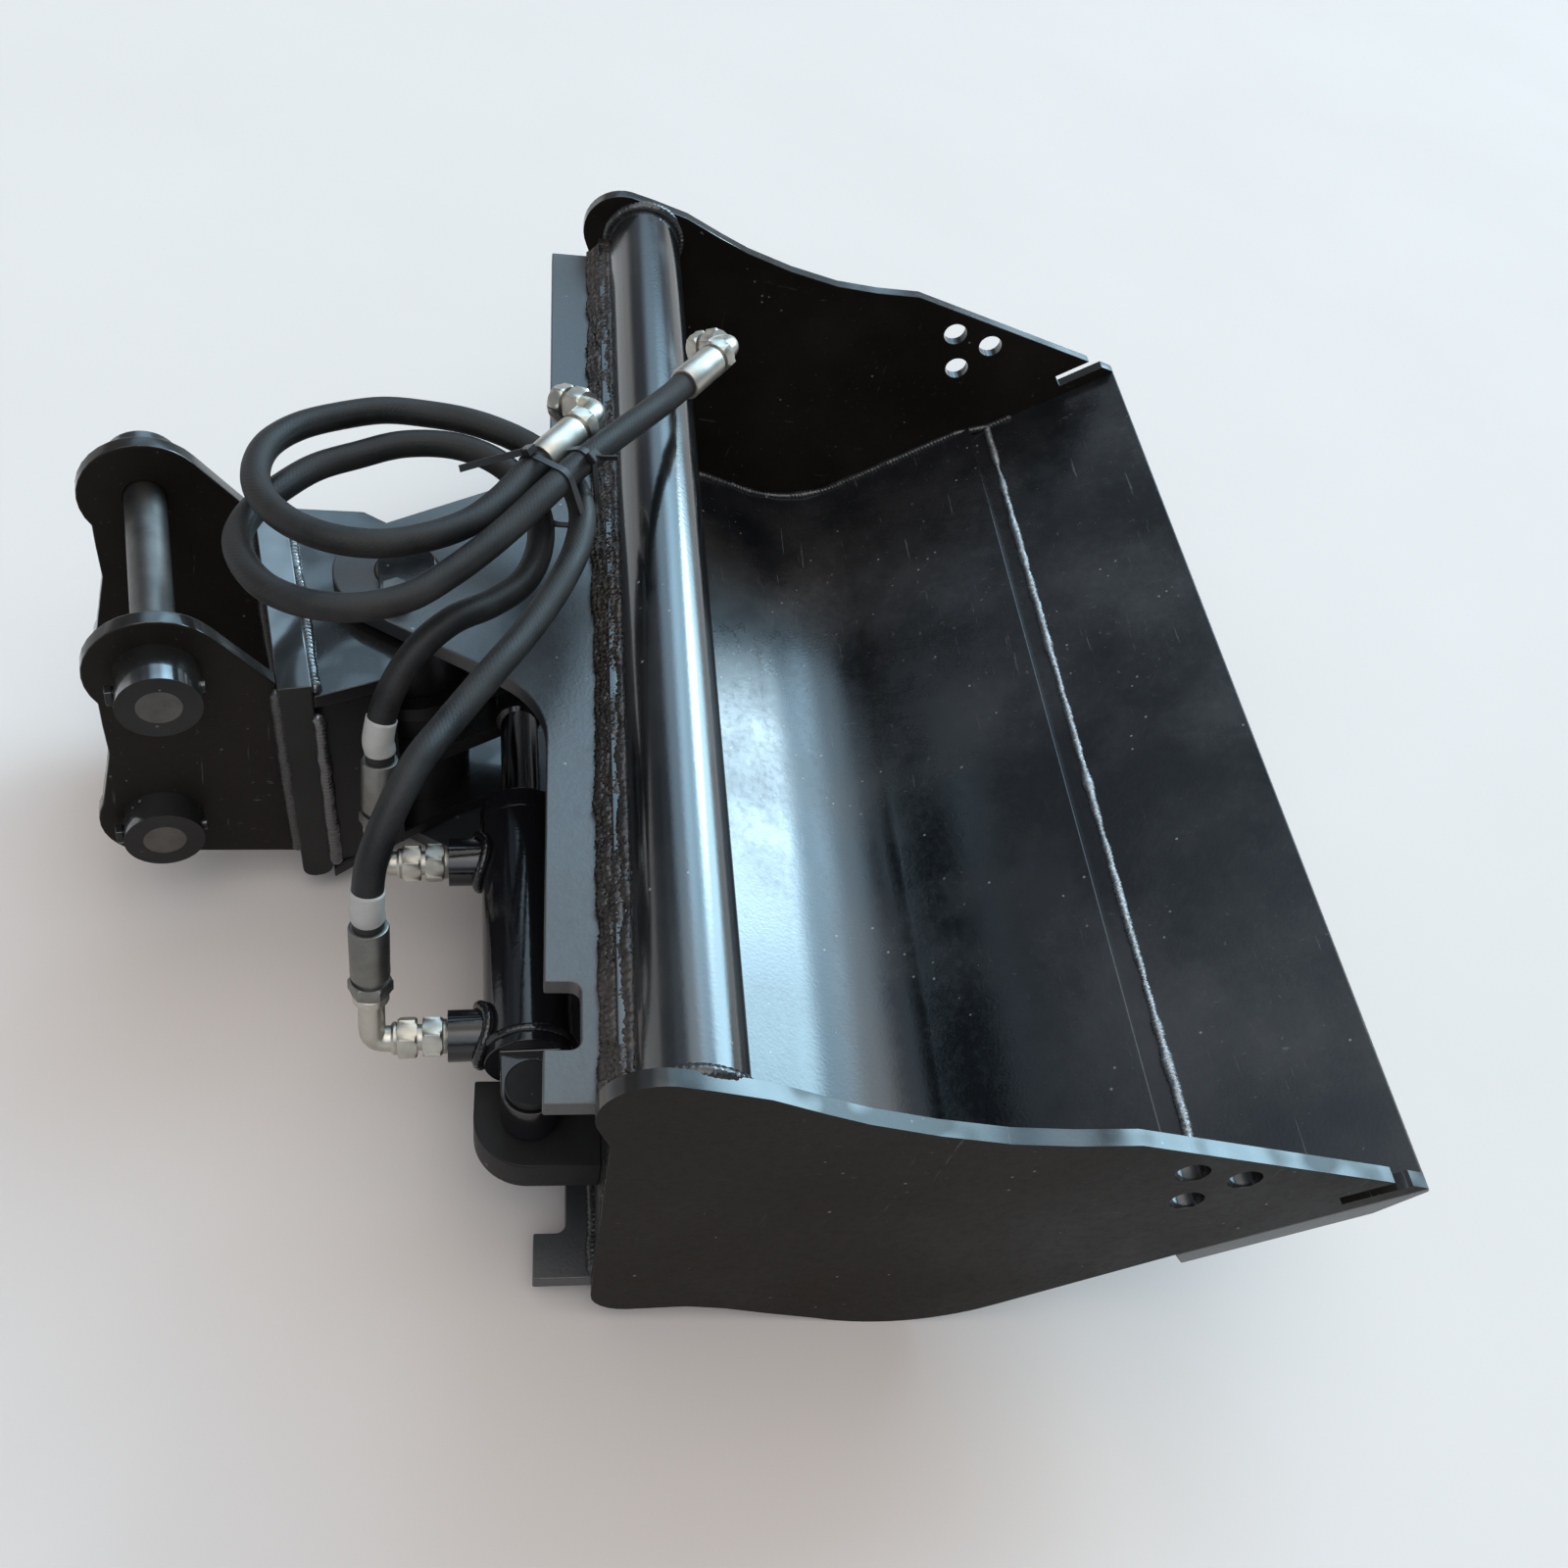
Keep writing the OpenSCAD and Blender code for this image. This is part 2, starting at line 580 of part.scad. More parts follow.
module head_base_plate() color(steel_paint) place() at_head()
    along_x(-base_w / 2, base_w) polygon(concat(
        [[base_y0, base_rise], [base_y0, base_top]],
        arc([base_y0 + base_l - base_nose_r, base_top - base_nose_r], base_nose_r, 90, 0, 6),
        arc([base_y0 + base_l - base_nose_r, base_rise + base_nose_r], base_nose_r, 0, -90, 6)));

housing_l = head_y1 - head_y0 - 2 * head_plate_t;
module pivot_housing() color(steel_paint) place() at_head()
    translate([0, head_y0 + head_plate_t, 0]) rotate([-90, 0, 0]) ring(housing_l, housing_d, bush_d);
module pivot_bush(y) color(bronze) place() at_head()
    translate([0, y, 0]) rotate([-90, 0, 0])
        ring(bush_l, bush_d - 2 * fix_gap, pivot_d + 2 * run_gap);
module pivot_bush_front() pivot_bush(head_y0);
module pivot_bush_rear() pivot_bush(head_y1 - bush_l);

rod_lug_top_r = 50;
module rod_lug(y) color(steel_paint) place() at_head()
    along_y(y, rod_lug_t) difference() {
        hull() {
            circle(r = rod_lug_top_r, $fn = hull_fn);
            translate([0, -rod_pin_r]) circle(r = rod_lug_r, $fn = hull_fn);
        }
        circle(d = housing_d + 2 * fix_gap);
        translate([0, -rod_pin_r]) circle(d = cyl_pin_d + 2 * run_gap);
    }
rod_lug_y0 = cylinder_y - eye_w / 2 - air - rod_lug_t;
rod_lug_y1 = cylinder_y + eye_w / 2 + air;
module rod_lug_front() rod_lug(rod_lug_y0);
module rod_lug_rear() rod_lug(rod_lug_y1);
stub_head = 4;
module rod_stub(y, flange_y) color(bright) place() at_head() {
    bar_y(0, y, -rod_pin_r, rod_lug_t, cyl_pin_d);
    bar_y(0, flange_y, -rod_pin_r, stub_head, 1.4 * cyl_pin_d);
}
module rod_stub_front() rod_stub(rod_lug_y0, rod_lug_y0 - stub_head);
module rod_stub_rear() rod_stub(rod_lug_y1, rod_lug_y1 + rod_lug_t);

// Ears, bosses and hitch pins.
ear_setback = 24;
ear_waist_shares = [[0.3, 0.965], [0.5, 0.97]];
ear_outline = concat(
    [[base_y0, base_top]],
    arc(hitch_front, lobe_front_r, 235, 60, 16),
    [for (s = ear_waist_shares) [hitch_front.x + s.x * (hitch_rear.x - hitch_front.x),
        base_top + s.y * (hitch_rear_z + 0.6 * lobe_front_r)]],
    arc(hitch_rear, lobe_rear_r, 120, -10, 12),
    [[base_y0 + base_l - ear_setback, base_top]]);
module ear(x) color(steel_paint) place() at_head() difference() {
    along_x(x, ear_t) polygon(ear_outline);
    for (h = [hitch_front, hitch_rear])
        bar_x(x - overrun, h.x, h.y, ear_t + 2 * overrun, hitch_d + 2 * fix_gap);
}
module ear_near() ear(-ears_w / 2);
module ear_far() ear(ears_w / 2 - ear_t);

module retainer_shape(h, x, d, l) translate([x, h.x, h.y])
    rotate([retainer_turn - 90, 0, 0]) translate([0, 0, -l / 2]) cylinder(h = l, d = d);
function retainer_x(l) = (ears_w + l) / 2;
module hitch_boss(h, l, side) color(steel_paint) place() at_head() difference() {
    bar_x(side > 0 ? ears_w / 2 : -ears_w / 2 - l, h.x, h.y, l, hitch_boss_d);
    bar_x(-ears_w, h.x, h.y, 2 * ears_w, hitch_d + 2 * fix_gap);
    retainer_shape(h, side * retainer_x(l), retainer_d + 2 * fix_gap, 2 * hitch_boss_d);
}
module boss_front_near() hitch_boss(hitch_front, boss_front_l, -1);
module boss_front_far() hitch_boss(hitch_front, boss_front_l, 1);
module boss_rear_near() hitch_boss(hitch_rear, boss_rear_l, -1);
module boss_rear_far() hitch_boss(hitch_rear, boss_rear_l, 1);

module hitch_pin(h, l) color(bright) place() at_head() difference() {
    bar_x(-ears_w / 2 - l, h.x, h.y, ears_w + 2 * l, hitch_d);
    for (side = [-1, 1])
        retainer_shape(h, side * retainer_x(l), retainer_d + 2 * fix_gap, 2 * hitch_d);
}
module hitch_pin_front() hitch_pin(hitch_front, boss_front_l);
module hitch_pin_rear() hitch_pin(hitch_rear, boss_rear_l);
retainer_head = 4;
module retainer(h, l, side) {
    retainer_shape(h, side * retainer_x(l), retainer_d, hitch_boss_d + retainer_head);
    translate([side * retainer_x(l), h.x, h.y]) rotate([retainer_turn - 90, 0, 0])
        translate([0, 0, hitch_boss_d / 2])
            cylinder(h = retainer_head, d = 1.6 * retainer_d, $fn = 6);
}
module retainers(side) color(bright) place() at_head() {
    retainer(hitch_front, boss_front_l, side);
    retainer(hitch_rear, boss_rear_l, side);
}
module retainers_near() retainers(-1);
module retainers_far() retainers(1);

// Cylinder barrel, along X from the base pin.
module axial(x, l, d) translate([x, 0, 0]) rotate([0, 90, 0]) cylinder(h = l, d = d);
module eye_bore(x) translate([x, -eye_w, 0]) rotate([-90, 0, 0])
    cylinder(h = 2 * eye_w, d = eye_bush_d);
module barrel_cap() color(steel_paint) place() at_cylinder() difference() {
    union() {
        translate([0, -eye_w / 2, 0]) rotate([-90, 0, 0]) cylinder(h = eye_w, r = base_eye_r);
        translate([0, -eye_w / 2, -base_eye_r]) cube([barrel_start - cap_l, eye_w, 2 * base_eye_r]);
        axial(barrel_start - cap_l, cap_l, barrel_d);
    }
    eye_bore(0);
}
module eye_bush(x) color(bronze) place() at_cylinder()
    translate([x, -eye_w / 2, 0]) rotate([-90, 0, 0])
        ring(eye_w, eye_bush_d - 2 * fix_gap, cyl_pin_d + 2 * run_gap);
module base_bush() eye_bush(0);
module rod_bush() eye_bush(pin_to_pin);

module barrel_tube() color(steel_paint) place() at_cylinder()
    translate([barrel_start, 0, 0]) rotate([0, 90, 0])
        ring(gland_end - gland_l - barrel_start, barrel_d, barrel_bore);
module gland() color(steel_paint) place() at_cylinder() difference() {
    union() {
        axial(gland_end - gland_l, gland_l, gland_d);
        axial(gland_end - gland_l - gland_sleeve, gland_sleeve, barrel_bore - 2 * fix_gap);
    }
    axial(0, gland_end + overrun, rod_d + 2 * run_gap);
    axial(gland_end - wiper_l, wiper_l + overrun, wiper_d);
}
module wiper_seal() color(black) place() at_cylinder()
    translate([gland_end - wiper_l, 0, 0]) rotate([0, 90, 0])
        ring(wiper_l, wiper_d - 2 * fix_gap, rod_d + 2 * run_gap);
module port_boss(l) color(steel_paint) place() at_cylinder() difference() {
    translate([l, 0, 0]) cylinder(h = port_h, d = port_d);
    axial(0, gland_end, barrel_d);
}
module port_base() port_boss(port_base_l);
module port_gland() port_boss(port_gland_l);

adapter_neck = 3;
knuckle = 2;
module adapter(l) color(bright) place() at_cylinder() translate([l, 0, port_h]) {
    cylinder(h = fitting_hex + 2 * adapter_neck, d = fitting_pipe_d);
    translate([0, 0, adapter_neck]) hexagon(fitting_hex);
}
module adapter_base() adapter(port_base_l);
module adapter_gland() adapter(port_gland_l);

module elbow(l, corner, start) color(bright) place() {
    foot = port_h + fitting_hex + 2 * adapter_neck;
    at_cylinder() translate([l, 0, foot]) {
        hexagon(fitting_hex);
        cylinder(h = elbow_h - foot, d = fitting_pipe_d);
    }
    translate(corner) sphere(d = fitting_pipe_d + knuckle);
    aim(corner, start - corner) cylinder(h = norm(start - corner) - ferrule_l, d = fitting_pipe_d);
}
module elbow_base() elbow(port_base_l, elbow_a, route_a[0]);
module elbow_gland() elbow(port_gland_l, elbow_b, route_b[0]);
module ferrule(p, d) color(bright) place() aim(p, d) cylinder(h = ferrule_l, d = ferrule_d);
module ferrule_base() ferrule(route_a[0], -out_a);
module ferrule_gland() ferrule(route_b[0], -out_b);

module hose_base() color(black) place() tube_along(line_a, hose_d, hose_sides);
module hose_gland() color(black) place() tube_along(line_b, hose_d, hose_sides);

// Free end of a hose: ferrule, short pipe, elbow and swivel nut, then a plug.
free_pipe = 14;
nut_from_corner = 9;
plug_l = 9;
function free_corner(route, u) = last(route) + (ferrule_l + free_pipe) * u;
function square_to(v, u) = unit(v - (v * u) * u);
module free_fitting(route, u, out) color(bright) place() {
    c = free_corner(route, u);
    aim(last(route), u) cylinder(h = ferrule_l, d = ferrule_d);
    aim(last(route) + ferrule_l / 2 * u, u) cylinder(h = ferrule_l / 2 + free_pipe, d = fitting_pipe_d);
    translate(c) sphere(d = fitting_pipe_d + knuckle);
    aim(c, square_to(out, u)) {
        cylinder(h = nut_from_corner + fitting_hex / 2, d = fitting_pipe_d);
        translate([0, 0, nut_from_corner]) hexagon(fitting_hex);
    }
}
module plug(route, u, out) color(bright) place()
    aim(free_corner(route, u) + (nut_from_corner + fitting_hex) * square_to(out, u), square_to(out, u)) {
        cylinder(h = adapter_neck + plug_l / 2, d = fitting_pipe_d);
        translate([0, 0, adapter_neck]) hexagon(plug_l);
    }
module free_fitting_a() free_fitting(route_a, end_a, free_a_out);
module free_fitting_b() free_fitting(route_b, end_b, free_b_out);
module plug_a() plug(route_a, end_a, free_a_out);
module plug_b() plug(route_b, end_b, free_b_out);

// Piston and rod.
rod_start = piston_at + piston_l;
module piston() color(bright) place() at_cylinder()
    axial(piston_at, piston_l, barrel_bore - 2 * run_gap);
module piston_rod() color(bright) place() at_cylinder()
    axial(rod_start, pin_to_pin - shank_from_pin - rod_start, rod_d);
module rod_eye() color(steel_paint) place() at_cylinder() difference() {
    union() {
        axial(pin_to_pin - shank_from_pin, shank_from_pin, shank_d);
        translate([pin_to_pin, -eye_w / 2, 0]) rotate([-90, 0, 0]) cylinder(h = eye_w, r = rod_eye_r);
    }
    eye_bore(pin_to_pin);
}
module rod_pin() color(bright) place() at_cylinder()
    translate([pin_to_pin, -eye_w / 2, 0]) rotate([-90, 0, 0]) cylinder(h = eye_w, d = cyl_pin_d);

side_plate_near();
side_plate_far();
rolled_shell();
top_plate();
cutting_edge();
torque_tube();
front_support_plate();
rear_support_plate();
pivot_pin();
pin_keeper();
keeper_bolt();
thrust_washer_front();
thrust_washer_rear();
cylinder_lug();
base_pin();
head_front_plate();
head_rear_plate();
head_base_plate();
head_gussets();
pivot_housing();
pivot_bush_front();
pivot_bush_rear();
rod_lug_front();
rod_lug_rear();
rod_stub_front();
rod_stub_rear();
ear_near();
ear_far();
boss_front_near();
boss_front_far();
boss_rear_near();
boss_rear_far();
hitch_pin_front();
hitch_pin_rear();
retainers_near();
retainers_far();
barrel_cap();
base_bush();
barrel_tube();
gland();
wiper_seal();
port_base();
port_gland();
adapter_base();
adapter_gland();
elbow_base();
elbow_gland();
ferrule_base();
ferrule_gland();
hose_base();
hose_gland();
free_fitting_a();
free_fitting_b();
plug_a();
plug_b();
piston();
piston_rod();
rod_eye();
rod_bush();
rod_pin();
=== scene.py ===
# %% [markdown]
# # Tilt bucket, dressed
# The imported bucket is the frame. Its plates, pins and cylinder keep the shape
# and place that the CAD gives them. This script gives them black paint, adds
# the weld beads, and replaces the hoses and their fittings with full ones.

# %% Load the frame
import bpy, bmesh, json, math
import numpy as np
from mathutils import Matrix, Vector
from mathutils.bvhtree import BVHTree

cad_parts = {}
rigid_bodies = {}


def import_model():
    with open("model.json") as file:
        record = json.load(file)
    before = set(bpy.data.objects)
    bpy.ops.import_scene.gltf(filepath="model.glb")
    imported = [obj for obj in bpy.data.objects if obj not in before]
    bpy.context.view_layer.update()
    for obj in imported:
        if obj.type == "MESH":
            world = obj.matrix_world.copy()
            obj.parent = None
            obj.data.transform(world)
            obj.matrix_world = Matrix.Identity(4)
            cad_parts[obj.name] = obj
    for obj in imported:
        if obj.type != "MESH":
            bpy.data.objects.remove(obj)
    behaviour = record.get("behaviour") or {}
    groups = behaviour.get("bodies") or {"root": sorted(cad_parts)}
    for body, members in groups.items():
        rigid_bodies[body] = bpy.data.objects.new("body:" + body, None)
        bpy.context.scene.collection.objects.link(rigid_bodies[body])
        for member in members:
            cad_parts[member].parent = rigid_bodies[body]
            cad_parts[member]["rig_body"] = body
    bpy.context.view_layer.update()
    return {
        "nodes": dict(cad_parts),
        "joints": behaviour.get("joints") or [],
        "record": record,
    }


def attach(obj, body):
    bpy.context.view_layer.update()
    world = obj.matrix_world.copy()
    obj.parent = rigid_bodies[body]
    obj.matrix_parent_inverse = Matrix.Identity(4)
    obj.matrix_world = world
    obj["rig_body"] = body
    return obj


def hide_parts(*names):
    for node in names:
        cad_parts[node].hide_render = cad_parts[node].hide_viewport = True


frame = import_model()
NODES = frame["nodes"]

# %% [markdown]
# ## The work frame
# Places on the bucket are easiest to give as the CAD does: X across, Y from
# the open side to the rear, Z from the lip to the hitch. `W` turns such a
# point, in metres, into the row's frame, and `D` turns a direction.

# %% Work frame
tilt_joint = next(j for j in frame["joints"] if j["name"] == "tilt")
UP = Vector(tilt_joint["axis"])                 # work -Y
ALONG = Vector((0, UP.z, -UP.y))                # work +Z
ACROSS = Vector((1, 0, 0))                      # work +X
PIVOT_X, PIVOT_Y, PIVOT_Z = 0.400, 0.030, 0.592
ORIGIN = Vector(tilt_joint["pos_m"]) + PIVOT_Y * UP - PIVOT_X * ACROSS - PIVOT_Z * ALONG
REST_TILT = math.radians(11.8)                  # the head's turn at rest


def D(x, y, z):
    """A direction given in the work frame."""
    return x * ACROSS - y * UP + z * ALONG


def W(x, y, z):
    """A point given in the work frame."""
    return ORIGIN + D(x, y, z)


def H(x, y, z):
    """A point of the tilt head, from the pivot: x across it, z away from the bucket."""
    c, s = math.cos(REST_TILT), math.sin(REST_TILT)
    return W(PIVOT_X + x * c - z * s, y, PIVOT_Z + x * s + z * c)


HEAD_X = D(math.cos(REST_TILT), 0, math.sin(REST_TILT))
HEAD_Z = D(-math.sin(REST_TILT), 0, math.cos(REST_TILT))
print("work origin", [round(v, 4) for v in ORIGIN])

# %% Camera, at the photograph's place
LENS, SENSOR = 35.04, 36.0                      # millimetres
CAMERA_AT = W(-0.34725, -0.74907, 0.51841)
RIGHT = D(-0.09099, -0.14727, -0.98490)
DOWN = D(-0.76377, 0.64496, -0.02587)
AHEAD = D(0.63904, 0.74989, -0.17116)
cam_data = bpy.data.cameras.new("camera")
cam_data.lens, cam_data.sensor_width = LENS, SENSOR
camera = bpy.data.objects.new("camera", cam_data)
camera.location = CAMERA_AT
camera.rotation_euler = Matrix((RIGHT, -DOWN, -AHEAD)).transposed().to_euler()
bpy.context.scene.collection.objects.link(camera)
bpy.context.scene.camera = camera
print("camera at", [round(v, 3) for v in camera.location])

# %% [markdown]
# ## Mesh tools
# Everything new is swept, turned or lofted: `skin` joins rings of points,
# `lathe` turns a profile about a line, `hexagon` lofts a chamfered nut.

# %% Mesh tools
ROUND = 48            # points round a turned piece
SHARP_EDGE = 35       # degrees: a turned piece is shaded flat across a sharper edge


def turns(count):
    """The angles of that many points round a circle."""
    return [2 * math.pi * k / count for k in range(count)]


def spoke(angle, u, v):
    """The unit vector at an angle in the plane of u and v."""
    return math.cos(angle) * u + math.sin(angle) * v


def mesh_object(name, verts, faces, material, body, uvs=None):
    me = bpy.data.meshes.new(name)
    me.from_pydata([tuple(v) for v in verts], [], faces)
    me.validate()
    if uvs is not None:
        layer = me.uv_layers.new(name="UVMap")
        for loop in me.loops:
            layer.data[loop.index].uv = uvs[loop.vertex_index]
    me.polygons.foreach_set("use_smooth", [True] * len(me.polygons))
    me.materials.append(material)
    ob = bpy.data.objects.new(name, me)
    bpy.context.scene.collection.objects.link(ob)
    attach(ob, body)
    return ob


def side_vectors(path):
    """Directions of a path, and two vectors square to it, carried along without twist."""
    p = np.array(path, float)
    t = np.gradient(p, axis=0)
    t /= np.linalg.norm(t, axis=1)[:, None]
    start = np.cross(t[0], (0.31, 0.11, 0.94))  # no path starts along this one
    side = [start / np.linalg.norm(start)]
    for i in range(1, len(p)):
        v = side[-1] - side[-1].dot(t[i]) * t[i]
        side.append(v / np.linalg.norm(v))
    side = np.array(side)
    return t, side, np.cross(t, side)


def skin(rings, closed_ends=True):
    """Vertices and faces that join rings of equal counts."""
    n = len(rings[0])
    verts = [v for r in rings for v in r]
    faces = [(i * n + k, i * n + (k + 1) % n, (i + 1) * n + (k + 1) % n, (i + 1) * n + k)
             for i in range(len(rings) - 1) for k in range(n)]
    if closed_ends:
        faces.append(tuple(reversed(range(n))))
        faces.append(tuple((len(rings) - 1) * n + k for k in range(n)))
    return verts, faces


def basis(direction):
    """Two vectors square to a direction, and the direction itself, all of unit length."""
    w = Vector(direction).normalized()
    u = w.orthogonal().normalized()
    return u, w.cross(u), w


def lathe(profile, start, direction):
    """Rings for a profile of (distance along, radius)."""
    u, v, w = basis(direction)
    return [[Vector(start) + s * w + r * spoke(a, u, v) for a in turns(ROUND)]
            for s, r in profile]


def hexagon(start, direction, height, flats, turn=0.0, chamfer=0.0012):
    """Rings of a chamfered hexagon nut or head, that wide across its flats."""
    u, v, w = basis(direction)
    face, bevel, past_corners = flats * 0.48, flats * 0.5, flats * 0.6
    rings = []
    for s, limit in ((0, face), (0, bevel), (chamfer, past_corners),
                     (height - chamfer, past_corners), (height, bevel), (height, face)):
        ring = []
        for a in turns(ROUND):
            edge = flats / 2 / math.cos((a + math.pi / 6) % (math.pi / 3) - math.pi / 6)
            ring.append(Vector(start) + s * w + min(edge, limit) * spoke(a + turn, u, v))
        rings.append(ring)
    return rings


def build(name, shells, material, body, replaces=()):
    """One object from several sets of rings, with its sharp edges kept."""
    verts, faces = [], []
    for rings in shells:
        v, f = skin(rings)
        faces += [tuple(i + len(verts) for i in face) for face in f]
        verts += v
    ob = mesh_object(name, verts, faces, material, body)
    ob.data.set_sharp_from_angle(angle=math.radians(SHARP_EDGE))
    if replaces:
        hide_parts(*replaces)
    return ob


# %% [markdown]
# ## Material tools
# Small wrappers keep each material readable: `node` adds a shader node,
# `noise` a noise texture, `ramp` a colour ramp, `coords` places in object space.

# %% Material tools
def material(name):
    m = bpy.data.materials.new(name)
    m.use_nodes = True
    t = m.node_tree
    return m, t, t.nodes["Principled BSDF"]


def node(t, kind, **values):
    n = t.nodes.new(kind)
    for key, value in values.items():
        if key in n.inputs:
            n.inputs[key].default_value = value
        else:
            setattr(n, key, value)
    return n


def coords(t, scale=(1, 1, 1), turn=(0, 0, 0)):
    place = t.nodes.new("ShaderNodeTexCoord")
    mapping = t.nodes.new("ShaderNodeMapping")
    mapping.inputs["Scale"].default_value = scale
    mapping.inputs["Rotation"].default_value = turn
    t.links.new(place.outputs["Object"], mapping.inputs["Vector"])
    return mapping.outputs["Vector"]


def noise(t, where, scale, detail=4.0, rough=0.55):
    n = node(t, "ShaderNodeTexNoise", Scale=scale, Detail=detail, Roughness=rough)
    t.links.new(where, n.inputs["Vector"])
    return n.outputs["Fac"]


def ramp(t, value, stops):
    n = t.nodes.new("ShaderNodeValToRGB")
    e = n.color_ramp.elements
    while len(e) < len(stops):
        e.new(0.5)
    for el, (at, c) in zip(e, stops):
        el.position = at
        el.color = (c, c, c, 1) if isinstance(c, (int, float)) else (*c, 1)
    t.links.new(value, n.inputs["Fac"])
    return n.outputs["Color"]


def mix(t, fac, a, b):
    n = node(t, "ShaderNodeMix", data_type="RGBA")
    for socket, value in ((n.inputs[0], fac), (n.inputs[6], a), (n.inputs[7], b)):
        if isinstance(value, bpy.types.NodeSocket):
            t.links.new(value, socket)
        else:
            socket.default_value = value if isinstance(value, float) else (*value, 1)
    return n.outputs[2]


def maths(t, how, a, b):
    n = node(t, "ShaderNodeMath", operation=how)
    for socket, value in zip(n.inputs, (a, b)):
        if isinstance(value, bpy.types.NodeSocket):
            t.links.new(value, socket)
        else:
            socket.default_value = value
    return n.outputs[0]


def bump(t, height, distance, strength=1.0, under=None):
    n = node(t, "ShaderNodeBump", Strength=strength, Distance=distance)
    t.links.new(height, n.inputs["Height"])
    if under is not None:
        t.links.new(under, n.inputs["Normal"])
    return n.outputs["Normal"]


# %% [markdown]
# ## Materials

# %% Black paint
def face_mask(t):
    """0 on the broad faces of an upright plate, 1 on its cut edges."""
    place = t.nodes.new("ShaderNodeTexCoord")
    split = t.nodes.new("ShaderNodeSeparateXYZ")
    t.links.new(place.outputs["Normal"], split.inputs[0])
    return ramp(t, maths(t, "ABSOLUTE", split.outputs[0], 0), [(0.5, 1.0), (0.8, 0.0)])


# stretch, turn, scale, and where on the noise a scratch begins and is full
SCRATCH_SETS = (((5, 90, 90), (0, 0, 0.35), 2.6, 0.655, 0.67),
                ((100, 7, 60), (0.4, 0, -0.25), 2.1, 0.665, 0.68),
                ((40, 90, 6), (0.2, 0.5, 0.3), 1.9, 0.67, 0.69))


def scratches(t, here, amount):
    """Thin crossing scratches and short rubs, in patches."""
    lines = None
    for stretch, turn, scale, begins, full in SCRATCH_SETS:
        grain = noise(t, coords(t, stretch, turn), scale, 6, 0.7)
        one = ramp(t, grain, [(begins, 0.0), (full, 1.0)])
        lines = one if lines is None else maths(t, "MAXIMUM", lines, one)
    patch = ramp(t, noise(t, here, 4.2, 2, 0.5), [(0.42, 0.0), (0.6, 1.0)])
    return maths(t, "MULTIPLY", maths(t, "MULTIPLY", lines, patch), amount)


SCUFF_COLOUR, SPECK_COLOUR = (0.15, 0.16, 0.17), (0.35, 0.36, 0.36)


def black_paint(name, base=(0.010, 0.011, 0.012), gloss=0.18, dust=0.25, scuff=0.0,
                wave=0.0006, fine=0.00006, spec=0.6, coat=0.0,
                dust_and_reflection_colour=(0.05, 0.047, 0.044), edges=False, grain=(1, 1, 1),
                specks=0.0, coat_ior=1.5):
    """Glossy black over plate: a slow waviness, orange peel, thin dust, specks and scuffs. The dust
    colour also carries a painted reflection where a call gives it one.

    With `edges` the coat lies on the cut edges alone, brighter in some places.
    """
    m, t, p = material(name)
    here = coords(t)
    cloud = noise(t, here, 5.5, 6, 0.6)
    grit = noise(t, coords(t, grain), 160, 3, 0.6)
    dust_and_reflection_mask = maths(t, "MULTIPLY", ramp(t, cloud, [(0.42, 0.0), (0.68, 1.0)]), dust)
    colour = mix(t, dust_and_reflection_mask, base, dust_and_reflection_colour)
    rough = maths(t, "ADD", gloss, maths(t, "MULTIPLY", dust_and_reflection_mask, 0.45))
    fine_grit = ramp(t, grit, [(0.45, 0.0), (0.75, 1.0)])
    rough = maths(t, "ADD", rough, maths(t, "MULTIPLY", fine_grit, 0.07))
    if scuff:
        lines = scratches(t, here, scuff)
        colour = mix(t, lines, colour, SCUFF_COLOUR)
        rough = maths(t, "ADD", rough, maths(t, "MULTIPLY", lines, 0.3))
    if specks:
        dots = t.nodes.new("ShaderNodeTexVoronoi")
        dots.inputs["Scale"].default_value = 95.0
        t.links.new(here, dots.inputs["Vector"])
        spot = ramp(t, dots.outputs["Distance"], [(0.07, 1.0), (0.11, 0.0)])
        some = ramp(t, noise(t, here, 21, 2, 0.5), [(0.56, 0.0), (0.6, 1.0)])
        shown = maths(t, "MULTIPLY", maths(t, "MULTIPLY", spot, some), specks)
        colour = mix(t, shown, colour, SPECK_COLOUR)
    if edges:
        worn = ramp(t, noise(t, here, 16, 2, 0.7), [(0.42, 0.35), (0.5, 0.8), (0.62, 1.0)])
        bare = maths(t, "MULTIPLY", face_mask(t), worn)
        rough = maths(t, "SUBTRACT", rough, maths(t, "MULTIPLY", bare, gloss * 0.6))
        t.links.new(bare, p.inputs["Coat Weight"])
    else:
        p.inputs["Coat Weight"].default_value = coat
    t.links.new(colour, p.inputs["Base Color"])
    t.links.new(rough, p.inputs["Roughness"])
    p.inputs["Specular IOR Level"].default_value = spec
    p.inputs["Coat Roughness"].default_value = 0.1
    p.inputs["Coat IOR"].default_value = coat_ior
    slow = bump(t, noise(t, here, 7.0, 1.5, 0.4), wave)
    peel = bump(t, noise(t, here, 420, 2, 0.5), fine, 1.0, slow)
    t.links.new(peel, p.inputs["Normal"])
    return m


